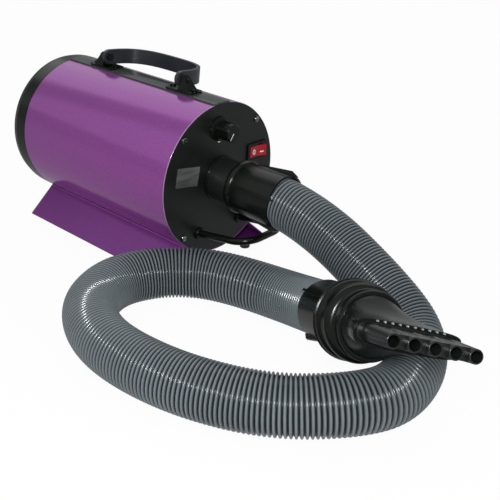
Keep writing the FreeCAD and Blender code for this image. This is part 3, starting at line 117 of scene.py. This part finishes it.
def smooth_line(points):
    """Points along the one smooth spline that has the given control points."""
    curve = bpy.data.curves.new("hose_line", "CURVE")
    curve.dimensions = "3D"
    curve.resolution_u = LINE_STEPS
    spline = curve.splines.new("NURBS")
    spline.points.add(len(points) - 1)
    for point, place in zip(spline.points, points):
        point.co = (*at(*place), 1.0)
    spline.order_u = 3
    spline.use_endpoint_u = True
    holder = bpy.data.objects.new("hose_line", curve)
    mesh = bpy.data.meshes.new_from_object(holder)
    line = [v.co.copy() for v in mesh.vertices]
    bpy.data.objects.remove(holder)
    bpy.data.meshes.remove(mesh)
    bpy.data.curves.remove(curve)
    return line


def frames_along(line, distances):
    """The place, direction and a level side direction at each distance along a line, past its ends too."""
    lengths = [(b - a).length for a, b in zip(line, line[1:])]
    starts = [0.0]
    for length in lengths:
        starts.append(starts[-1] + length)
    last = len(line) - 1
    tangents = [(line[min(k + 1, last)] - line[max(k - 1, 0)]).normalized() for k in range(last + 1)]
    frames = []
    k = 0
    for distance in distances:
        while k < len(lengths) - 1 and distance > starts[k + 1]:
            k += 1
        share = (distance - starts[k]) / lengths[k]
        place = line[k].lerp(line[k + 1], share)
        along = tangents[k].lerp(tangents[k + 1], min(max(share, 0), 1)).normalized()
        level = Vector((0, 0, 1)).cross(along).normalized()
        frames.append((place, along, level))
    return frames


def rib_height(turns):
    """How high the rib stands, from 0 to 1, where the thread has made that many turns."""
    step = (turns % 1.0) * len(RIB_HEIGHTS)
    low = int(step)
    share = step - low
    return RIB_HEIGHTS[low] * (1 - share) + RIB_HEIGHTS[(low + 1) % len(RIB_HEIGHTS)] * share


def spacing_at(share):
    for (start, before), (end, after) in zip(RIB_SPACING, RIB_SPACING[1:]):
        if share <= end:
            return before + (after - before) * (share - start) / (end - start)
    return RIB_SPACING[-1][1]


def thread_places(length):
    """The distance along the hose at which each turn of the thread starts."""
    places = [0.0]
    while places[-1] < length:
        places.append(places[-1] + spacing_at(places[-1] / length) * MM)
    return places


def along_thread(turn_starts, turns):
    """The distance along the hose where the thread has made that many turns."""
    whole = int(turns)
    return turn_starts[whole] + (turn_starts[whole + 1] - turn_starts[whole]) * (turns - whole)


def make_hose(material):
    """Rows of points follow the thread, so each row starts where the row a whole turn before it ends."""
    line = smooth_line(HOSE_ROUTE)
    length = sum((b - a).length for a, b in zip(line, line[1:]))
    turn_starts = thread_places(length)
    per_rib = len(RIB_HEIGHTS)
    rows = (len(turn_starts) - 3) * per_rib
    points = []
    heights = []
    for row in range(rows + 1):
        turns = [row / per_rib + side / HOSE_SIDES for side in range(HOSE_SIDES)]
        starts = [along_thread(turn_starts, t) for t in turns]
        height = rib_height(row / per_rib)
        radius = (HOSE_R - RIB_DEPTH * (1 - height)) * MM
        for side, (place, along, level) in enumerate(frames_along(line, starts)):
            angle = 2 * math.pi * side / HOSE_SIDES
            out = level * math.cos(angle) + along.cross(level) * math.sin(angle)
            points.append(place + out * radius)
            heights.append(height)
    faces = []
    for row in range(rows):
        for side in range(HOSE_SIDES):
            here = row * HOSE_SIDES + side
            if side < HOSE_SIDES - 1:
                faces.append((here, here + 1, here + 1 + HOSE_SIDES, here + HOSE_SIDES))
            elif row + per_rib < rows:
                first = (row + per_rib) * HOSE_SIDES
                faces.append((here, first, first + HOSE_SIDES, here + HOSE_SIDES))
    hose = piece_from("ribbed_hose", points, faces, "housing", material)
    hose.data.attributes.new("rib_height", "FLOAT", "POINT").data.foreach_set("value", heights)
    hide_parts("hose")


# Softened edges: the width in millimetres of the rounding on the CAD pieces whose edges catch the light

SOFT_ANGLE = math.radians(40)
SOFT_EDGES = {
    "handle_band": 1.0, "front_handle_bracket": 0.7, "rear_handle_bracket": 0.7, "base_stand": 0.5,
    "rear_cap": 0.6, "outlet_cuff": 0.5, "nozzle_cuff": 0.5, "nozzle_comb": 0.5, "nozzle_body": 0.4,
    "switch_housing": 0.3, "switch_rocker": 0.4, "top_rail": 0.5,
}


def soften(node, width):
    rounding = node.modifiers.new("soft_edges", "BEVEL")
    rounding.width = width * MM
    rounding.segments = 2
    rounding.limit_method = "ANGLE"
    rounding.angle_limit = SOFT_ANGLE
    rounding.harden_normals = True
    rounding.use_clamp_overlap = True


# Materials

def shader(name, roughness, metallic=0.0, specular=0.5):
    material = bpy.data.materials.new(name)
    material.use_nodes = True
    nodes = material.node_tree.nodes
    principled = nodes["Principled BSDF"]
    principled.inputs["Roughness"].default_value = roughness
    principled.inputs["Metallic"].default_value = metallic
    principled.inputs["Specular IOR Level"].default_value = specular
    return material, nodes, material.node_tree.links, principled


def linear(red, green, blue):
    """A colour as a screen shows it, from 0 to 255, as the light it stands for."""
    shares = [c / 255 for c in (red, green, blue)]
    return [s / 12.92 if s <= 0.04045 else ((s + 0.055) / 1.055) ** 2.4 for s in shares] + [1.0]


def noise(nodes, links, coordinates, scale, detail=2.0, roughness=0.5):
    texture = nodes.new("ShaderNodeTexNoise")
    texture.inputs["Scale"].default_value = scale
    texture.inputs["Detail"].default_value = detail
    texture.inputs["Roughness"].default_value = roughness
    links.new(coordinates, texture.inputs["Vector"])
    return texture.outputs["Fac"]


def ramp(nodes, links, factor, stops):
    made = nodes.new("ShaderNodeValToRGB")
    elements = made.color_ramp.elements
    elements[0].position, elements[0].color = stops[0]
    elements[1].position, elements[1].color = stops[-1]
    for position, colour in stops[1:-1]:
        elements.new(position).color = colour
    links.new(factor, made.inputs["Fac"])
    return made.outputs["Color"]


def span(nodes, links, value, low, high):
    made = nodes.new("ShaderNodeMapRange")
    made.inputs["To Min"].default_value = low
    made.inputs["To Max"].default_value = high
    links.new(value, made.inputs["Value"])
    return made.outputs["Result"]


def bump(nodes, links, height, strength, distance):
    made = nodes.new("ShaderNodeBump")
    made.inputs["Strength"].default_value = strength
    made.inputs["Distance"].default_value = distance
    links.new(height, made.inputs["Height"])
    return made.outputs["Normal"]


def object_coordinates(nodes, links, stretch=(1, 1, 1)):
    source = nodes.new("ShaderNodeTexCoord")
    mapping = nodes.new("ShaderNodeMapping")
    mapping.inputs["Scale"].default_value = stretch
    links.new(source.outputs["Object"], mapping.inputs["Vector"])
    return mapping.outputs["Vector"]


def mottled(name, dark, light, roughness, spread=0.06, patch=40.0, grain=900.0, depth=0.00005, strength=0.3,
            stretch=(1, 1, 1), **kind):
    """Large soft patches between two colours, uneven gloss, and a fine grain in the surface."""
    material, nodes, links, principled = shader(name, roughness, **kind)
    coordinates = object_coordinates(nodes, links, stretch)
    patches = noise(nodes, links, coordinates, patch, 4.0)
    grains = noise(nodes, links, coordinates, grain, 3.0, 0.6)
    links.new(ramp(nodes, links, patches, [(0.3, dark), (0.7, light)]), principled.inputs["Base Color"])
    gloss = span(nodes, links, patches, roughness - spread, roughness + spread)
    links.new(gloss, principled.inputs["Roughness"])
    links.new(bump(nodes, links, grains, strength, depth), principled.inputs["Normal"])
    return material


def ribbed_vinyl():
    """Glossy grey vinyl with painted shade down in the grooves and on the flanks of its ribs, so that only
    the crests keep the vinyl's own grey.
    """
    material, nodes, links, principled = shader("hose_vinyl", 0.2)
    height = nodes.new("ShaderNodeAttribute")
    height.attribute_name = "rib_height"
    coordinates = object_coordinates(nodes, links)
    patches = noise(nodes, links, coordinates, 14.0, 4.0)
    surface = ramp(nodes, links, patches, [(0.3, linear(100, 108, 113)), (0.7, linear(116, 124, 129))])
    # Painted shade: the near-black colour is mixed in where the ribs stand low, in place of the shade that
    # falls between them.
    mix = nodes.new("ShaderNodeMix")
    mix.data_type = "RGBA"
    mix.inputs["A"].default_value = linear(28, 31, 33)
    links.new(ramp(nodes, links, height.outputs["Fac"], [(0.2, (0, 0, 0, 1)), (0.95, (1, 1, 1, 1))]),
              mix.inputs["Factor"])
    links.new(surface, mix.inputs["B"])
    links.new(mix.outputs["Result"], principled.inputs["Base Color"])
    links.new(span(nodes, links, patches, 0.16, 0.24), principled.inputs["Roughness"])
    return material


def purple_paint(name, tones):
    """Metallic lacquer: flakes from bright to dark in three tones, with a faint orange peel."""
    material, nodes, links, principled = shader(name, 0.18, metallic=0.35)
    coordinates = object_coordinates(nodes, links)
    flakes = nodes.new("ShaderNodeTexVoronoi")
    flakes.inputs["Scale"].default_value = 1600.0
    links.new(coordinates, flakes.inputs["Vector"])
    stops = [(place, linear(*tone)) for place, tone in zip((0.05, 0.3, 0.9), tones)]
    links.new(ramp(nodes, links, flakes.outputs["Distance"], stops), principled.inputs["Base Color"])
    clouds = noise(nodes, links, coordinates, 26.0, 3.0)
    links.new(span(nodes, links, clouds, 0.13, 0.2), principled.inputs["Roughness"])
    peel = noise(nodes, links, coordinates, 420.0, 1.0)
    links.new(bump(nodes, links, peel, 0.04, 0.00005), principled.inputs["Normal"])
    return material


def make_materials():
    """One material for each slot of the record."""
    return {
        "purple_paint": purple_paint("purple_lacquer", ((184, 118, 192), (148, 77, 155), (136, 64, 143))),
        "black_panel": mottled("black_powder_coat", linear(18, 21, 20), linear(25, 28, 27), 0.4,
                               grain=1500.0, strength=0.25, specular=0.35),
        # Painted sheen: the black rail is coloured grey for the bright room that its glossy top mirrors, on
        # top of its real gloss.
        "black_rail": mottled("rail_painted_sheen", linear(54, 60, 57), linear(64, 70, 67), 0.16, spread=0.03,
                              grain=1100.0, strength=0.06),
        "black_plastic": mottled("black_moulding", linear(11, 14, 11), linear(18, 21, 18), 0.22, spread=0.04,
                                 patch=30.0, grain=1200.0, strength=0.05, specular=0.26),
        "hose_vinyl": ribbed_vinyl(),
        "rubber": mottled("foot_rubber", linear(48, 24, 54), linear(62, 34, 68), 0.4, grain=1400.0),
        "black_steel": mottled("black_zinc", linear(38, 38, 38), linear(58, 58, 58), 0.22, spread=0.04,
                               metallic=1.0, patch=120.0, grain=1800.0, strength=0.08),
        "bright_steel": mottled("plated_steel", linear(176, 176, 174), linear(208, 208, 205), 0.24,
                                metallic=1.0, grain=1800.0, strength=0.1),
        "zinc_steel": mottled("zinc_steel", linear(150, 152, 154), linear(186, 188, 190), 0.38, metallic=1.0,
                              patch=60.0),
        "aluminium": mottled("mill_aluminium", linear(168, 170, 172), linear(200, 202, 204), 0.36,
                             metallic=1.0, stretch=(0.1, 1, 1)),
        "red_plastic": mottled("red_rocker", linear(158, 12, 28), linear(184, 20, 38), 0.2, patch=90.0,
                               grain=900.0, strength=0.05),
        "plate_silver": mottled("silver_foil", linear(78, 82, 80), linear(128, 132, 130), 0.4, metallic=0.4,
                                patch=160.0, grain=2400.0, stretch=(1, 0.15, 1)),
        "foam": mottled("open_foam", linear(52, 52, 54), linear(78, 78, 82), 0.9, patch=300.0, grain=500.0,
                        depth=0.0006, strength=0.8),
        "copper": mottled("enamelled_copper", linear(176, 96, 52), linear(208, 126, 74), 0.3, metallic=1.0,
                          patch=200.0, stretch=(0.2, 1, 1)),
        "core_steel": mottled("core_laminations", linear(86, 86, 90), linear(124, 124, 128), 0.5,
                              metallic=0.8, patch=900.0, stretch=(1, 0.02, 0.02)),
        "board_green": mottled("solder_mask", linear(16, 74, 44), linear(28, 98, 58), 0.35, patch=120.0),
        "brown_plastic": mottled("brown_moulding", linear(72, 48, 34), linear(96, 66, 48), 0.45),
        "bristle_plastic": mottled("pin_tips", linear(128, 134, 130), linear(164, 170, 166), 0.3,
                                   patch=300.0),
    }


def own_materials():
    """Materials of the few nodes that look unlike the rest of their slot. The stand's darker lacquer is
    painted shade.
    """
    return {
        # Painted shade: the stand has the drum's purple lacquer in darker tones, for the shade under the
        # drum.
        "base_stand": purple_paint("stand_lacquer_painted_shade", ((158, 90, 170), (124, 54, 136), (112, 44, 124))),
        "handle_band": mottled("handle_vinyl", linear(34, 38, 42), linear(44, 48, 53), 0.34, patch=30.0,
                               grain=900.0, strength=0.1),
        "front_panel_screws": mottled("worn_screw_heads", linear(104, 106, 104), linear(176, 178, 175), 0.16,
                                      spread=0.04, metallic=1.0, patch=260.0, grain=1800.0, strength=0.1),
        "outlet_spigot": mottled("spigot_moulding", linear(22, 25, 23), linear(31, 34, 32), 0.3, patch=30.0,
                                 grain=1200.0, strength=0.05),
        "nozzle_comb": mottled("comb_moulding", linear(19, 22, 20), linear(29, 32, 30), 0.26, patch=60.0,
                               grain=1200.0, strength=0.05),
    }


# Marks on the front panel, the knob and the rocker

KNOB_Y, KNOB_Z = -4.0, 57.8
KNOB_TOP = 22.0
GROOVE_DEPTH = 0.4
POINTER_WAY = math.radians(-126)
POINTER_START, POINTER_END = 0.2, 8.7
POINTER_HALF = 0.6
POINTER_SUNK = 0.05
ROCKER_Y, ROCKER_Z = 58.0, 18.4
ROCKER_SLANT = math.radians(10)
ROCKER_DIP = 2.6
ROCKER_RISE = 0.175
PRINT_THICK = 0.15
# The rocker's marks: their places along and up the rocker, and their half sizes
RING_PLACE = (-5.4, -0.4)
RING_OUTER = (2.2, 3.1)
RING_INNER = (1.2, 2.0)
BAR_PLACE = (5.6, -1.5)
BAR_HALF = (2.5, 0.75)
# The dial's marks: their places across and up the panel, and their half sizes
DIAL_MARKS = (((-3.7, 43.0), (1.7, 0.9)), ((-16.6, 59.9), (0.5, 0.5)), ((-14.1, 65.4), (0.4, 0.4)))


def oval(half_wide, half_high, count=28):
    turns = [2 * math.pi * k / count for k in range(count)]
    return [(half_wide * math.cos(t), half_high * math.sin(t)) for t in turns]


def bar(half_long, half_wide, count=8):
    """The outline of a bar with round ends, about its middle."""
    turns = [math.pi * (k / count - 0.5) for k in range(count + 1)]
    ends = [(half_long - half_wide + half_wide * math.cos(t), half_wide * math.sin(t)) for t in turns]
    return ends + [(-a, -b) for a, b in ends]


def raised(outlines, lift):
    """Points and faces of thin raised marks: outlines of points in metres, thickened forward."""
    points, faces = [], []
    for outline in outlines:
        first, count = len(points), len(outline)
        points += outline + [p + Vector((lift * MM, 0, 0)) for p in outline]
        faces.append(tuple(first + k for k in reversed(range(count))))
        faces.append(tuple(first + count + k for k in range(count)))
        for k in range(count):
            after = (k + 1) % count
            faces.append((first + k, first + after, first + count + after, first + count + k))
    return points, faces


def raised_ring(outer, inner, lift):
    """Points and faces of a thin raised ring between two outlines with the same number of points."""
    forward = Vector((lift * MM, 0, 0))
    loops = [outer, [p + forward for p in outer], [p + forward for p in inner], inner]
    count = len(outer)
    faces = []
    for loop in range(4):
        here, there = loop * count, (loop + 1) % 4 * count
        for k in range(count):
            after = (k + 1) % count
            faces.append((here + k, here + after, there + after, there + k))
    return [p for points in loops for p in points], faces


def on_rocker(along, up):
    """A place on the rocker's face, which dips in the middle and is tilted to its lower end."""
    x = ROCKER_DIP + ROCKER_RISE * abs(along)
    c, s = math.cos(ROCKER_SLANT), math.sin(ROCKER_SLANT)
    return at(x * c + along * s, ROCKER_Y + along * c - x * s, ROCKER_Z + up)


def rocker_outline(place, outline):
    return [on_rocker(place[0] + a, place[1] + b) for a, b in outline]


def make_rocker_marks(material):
    """The usual marks for off and on: a ring at the rocker's one end and a bar at its other."""
    outer = rocker_outline(RING_PLACE, oval(*RING_OUTER))
    inner = rocker_outline(RING_PLACE, oval(*RING_INNER))
    points, faces = raised_ring(outer, inner, PRINT_THICK)
    bar_points, bar_faces = raised([rocker_outline(BAR_PLACE, bar(*BAR_HALF))], PRINT_THICK)
    faces += [tuple(len(points) + k for k in face) for face in bar_faces]
    points += bar_points
    piece_from("rocker_marks", points, faces, "rocker", material, smooth=False)


def make_knob_line(material):
    """White paint in the groove across the knob's top, from its middle almost to its edge."""
    out = Vector((0, math.cos(POINTER_WAY), math.sin(POINTER_WAY)))
    side = Vector((0, -out.z, out.y))
    middle = at(KNOB_TOP - GROOVE_DEPTH, KNOB_Y, KNOB_Z) + out * (POINTER_START + POINTER_END) / 2 * MM
    line = bar((POINTER_END - POINTER_START) / 2, POINTER_HALF)
    outline = [middle + (out * a + side * b) * MM for a, b in line]
    points, faces = raised([outline], GROOVE_DEPTH - POINTER_SUNK)
    piece_from("knob_pointer_line", points, faces, "knob", material, smooth=False)


def make_dial_marks(material):
    """Small printed marks round the knob: a long one at its lowest setting and dots further on."""
    outlines = [[at(0, y + a, z + b) for a, b in oval(*half)] for (y, z), half in DIAL_MARKS]
    points, faces = raised(outlines, PRINT_THICK)
    piece_from("dial_marks", points, faces, "housing", material, smooth=False)


# The bead round the drum's front rim, and the folds of the stand

BEAD_RING_R = 84.5
BEAD_R = 0.6
BEAD_BACK = 1.2
BEAD_STEPS = 144
BEAD_SIDES = 8


def make_rim_bead(material):
    """The rolled edge of the drum's sheet, round the front panel."""
    points, faces = [], []
    for k in range(BEAD_STEPS):
        around = 2 * math.pi * k / BEAD_STEPS
        after = (k + 1) % BEAD_STEPS
        for m in range(BEAD_SIDES):
            angle = 2 * math.pi * m / BEAD_SIDES
            radius = BEAD_RING_R + BEAD_R * math.cos(angle)
            x = BEAD_R * math.sin(angle) - BEAD_BACK
            points.append(at(x, radius * math.sin(around), radius * math.cos(around)))
            beside = (m + 1) % BEAD_SIDES
            corners = ((k, m), (k, beside), (after, beside), (after, m))
            faces.append([step * BEAD_SIDES + turn for step, turn in corners])
    piece_from("drum_rim_bead", points, faces, "housing", material)


FOLD_Y, FOLD_Z = 51.0, -69.4
FOLD_R = 0.9
FOLD_END = 3.0
FOLD_TIP = 0.2
FOLD_SIDES = 10


def make_stand_folds(material):
    """The rounded fold between the stand's saddle and each leg, thinning out at its two ends."""
    start, end = (DRUM_LOW.x - PANEL_FRONT) / MM + 1, -1.0
    rows = [(start, FOLD_TIP), (start + FOLD_END, 1.0), (end - FOLD_END, 1.0), (end, FOLD_TIP)]
    points, faces = [], []
    for side in (-1, 1):
        first = len(points)
        for x, share in rows:
            for m in range(FOLD_SIDES):
                angle = side * 2 * math.pi * m / FOLD_SIDES
                y = side * FOLD_Y + FOLD_R * share * math.cos(angle)
                points.append(at(x, y, FOLD_Z + FOLD_R * share * math.sin(angle)))
        last = len(points) - FOLD_SIDES
        for row in range(first, last, FOLD_SIDES):
            for m in range(FOLD_SIDES):
                here, beside = row + m, row + (m + 1) % FOLD_SIDES
                faces.append((here, here + FOLD_SIDES, beside + FOLD_SIDES, beside))
        faces.append(list(range(first, first + FOLD_SIDES)))
        faces.append(list(range(last + FOLD_SIDES - 1, last - 1, -1)))
    piece_from("stand_folds", points, faces, "housing", material)


# Stage and light

WHITE = (1, 1, 1, 1)
FLOOR_HALF = 6.0
FLOOR_COLOUR = (0.86, 0.86, 0.86, 1)
# The share of plain white that the camera and glass see in the floor, and the floor's level in reflections
FLOOR_GLOW = 0.95
FLOOR_IN_GLOSS = 0.4
ROOM_COLOUR = (0.94, 1.0, 0.98, 1)
ROOM_LIGHT = 0.31


def math_node(nodes, operation):
    made = nodes.new("ShaderNodeMath")
    made.operation = operation
    return made


def glow(nodes, colour):
    made = nodes.new("ShaderNodeEmission")
    made.inputs["Color"].default_value = colour
    return made.outputs[0]


def chosen(nodes, links, factor, first, second):
    made = nodes.new("ShaderNodeMixShader")
    links.new(factor, made.inputs["Fac"])
    links.new(first, made.inputs[1])
    links.new(second, made.inputs[2])
    return made.outputs[0]


def pale_floor():
    """A pale floor that keeps the shadow and looks white to the camera."""
    material = bpy.data.materials.new("pale_floor")
    material.use_nodes = True
    nodes, links = material.node_tree.nodes, material.node_tree.links
    principled = nodes["Principled BSDF"]
    principled.inputs["Base Color"].default_value = FLOOR_COLOUR
    principled.inputs["Roughness"].default_value = 0.7
    path = nodes.new("ShaderNodeLightPath")
    seen = math_node(nodes, "MAXIMUM")
    links.new(path.outputs["Is Camera Ray"], seen.inputs[0])
    links.new(path.outputs["Is Transmission Ray"], seen.inputs[1])
    share = math_node(nodes, "MULTIPLY")
    share.inputs[1].default_value = FLOOR_GLOW
    links.new(seen.outputs[0], share.inputs[0])
    direct = chosen(nodes, links, share.outputs[0], principled.outputs[0], glow(nodes, WHITE))
    mirrored = glow(nodes, (FLOOR_IN_GLOSS, FLOOR_IN_GLOSS, FLOOR_IN_GLOSS, 1))
    surface = chosen(nodes, links, path.outputs["Is Glossy Ray"], direct, mirrored)
    links.new(surface, nodes["Material Output"].inputs["Surface"])
    return material


def make_stage():
    floor = bpy.data.meshes.new("floor")
    corners = [(x * FLOOR_HALF, y * FLOOR_HALF, 0) for x, y in ((-1, -1), (1, -1), (1, 1), (-1, 1))]
    floor.from_pydata(corners, [], [(0, 1, 2, 3)])
    floor.materials.append(pale_floor())
    ground = bpy.data.objects.new("floor", floor)
    bpy.context.scene.collection.objects.link(ground)


def make_world():
    """Soft light from all round, and a white backdrop for the camera alone."""
    world = bpy.data.worlds.new("studio")
    bpy.context.scene.world = world
    world.use_nodes = True
    nodes, links = world.node_tree.nodes, world.node_tree.links
    room = nodes["Background"]
    room.inputs["Color"].default_value = ROOM_COLOUR
    room.inputs["Strength"].default_value = ROOM_LIGHT
    backdrop = nodes.new("ShaderNodeBackground")
    backdrop.inputs["Color"].default_value = WHITE
    path = nodes.new("ShaderNodeLightPath")
    surface = chosen(nodes, links, path.outputs["Is Camera Ray"], room.outputs[0], backdrop.outputs[0])
    links.new(surface, nodes["World Output"].inputs["Surface"])


def make_lamp(name, place, facing, width, height, power):
    """A soft rectangular lamp at a place. Unturned it faces down with its width along x."""
    data = bpy.data.lights.new(name, "AREA")
    data.shape = "RECTANGLE"
    data.size, data.size_y = width, height
    data.energy = power
    lamp = bpy.data.objects.new(name, data)
    bpy.context.scene.collection.objects.link(lamp)
    lamp.location = place
    lamp.rotation_mode = "QUATERNION"
    lamp.rotation_quaternion = facing


CEILING = 1.6
GAP_TURN = math.radians(26)
# Each ceiling panel: its near and far edge across the gap, its two ends along it, and its brightness
BRIGHT_PANEL = (0.553, 2.6, -2.4, 1.4, 0.9)
DIM_PANEL = (-4.0, 0.0, -6.0, 1.4, 0.35)


def make_lamps():
    """A bright and a dimmer ceiling panel with a dark gap between, which the drum mirrors as a stripe."""
    along = Vector((math.cos(GAP_TURN), math.sin(GAP_TURN), 0))
    across = Vector((-math.sin(GAP_TURN), math.cos(GAP_TURN), 0))
    for name, panel in (("bright_panel", BRIGHT_PANEL), ("dim_panel", DIM_PANEL)):
        near, far, start, end, brightness = panel
        place = across * (near + far) / 2 + along * (start + end) / 2 + Vector((0, 0, CEILING))
        power = brightness * math.pi * (far - near) * (end - start)
        make_lamp(name, place, Quaternion((0, 0, 1), GAP_TURN), end - start, far - near, power)


FLASH_PLACE = (560, -600, 400)
FLASH_TARGET = (0, -40, 0)
FLASH_SIZE = 0.09
FLASH_POWER = 4.2


def make_flash():
    """A small lamp beside the lens, which puts a glint on each rib of the hose and on every round edge."""
    place = at(*FLASH_PLACE)
    facing = (at(*FLASH_TARGET) - place).to_track_quat("-Z", "Y")
    make_lamp("flash", place, facing, FLASH_SIZE, FLASH_SIZE, FLASH_POWER)


# The scene

bpy.context.scene.view_settings.view_transform = "Standard"
make_camera()
materials = make_materials()
own = own_materials()
print_paint = mottled("white_print", linear(228, 230, 228), linear(244, 245, 244), 0.4, patch=400.0)
make_hose(materials["hose_vinyl"])
make_rocker_marks(print_paint)
make_knob_line(print_paint)
make_dial_marks(print_paint)
# Painted highlight: the rim bead gets a pale copy of the drum's purple lacquer, for the light that its edge
# catches.
make_rim_bead(purple_paint("rim_painted_highlight", ((214, 188, 218), (190, 156, 196), (172, 134, 180))))
make_stand_folds(materials["purple_paint"])

for part in frame["record"]["subparts"]:
    node = frame["nodes"][part["node"]]
    node.data.materials.clear()
    node.data.materials.append(own.get(part["node"], materials[part["material_slot"]]))
    if part["node"] in SOFT_EDGES:
        soften(node, SOFT_EDGES[part["node"]])

make_stage()
make_world()
make_lamps()
make_flash()
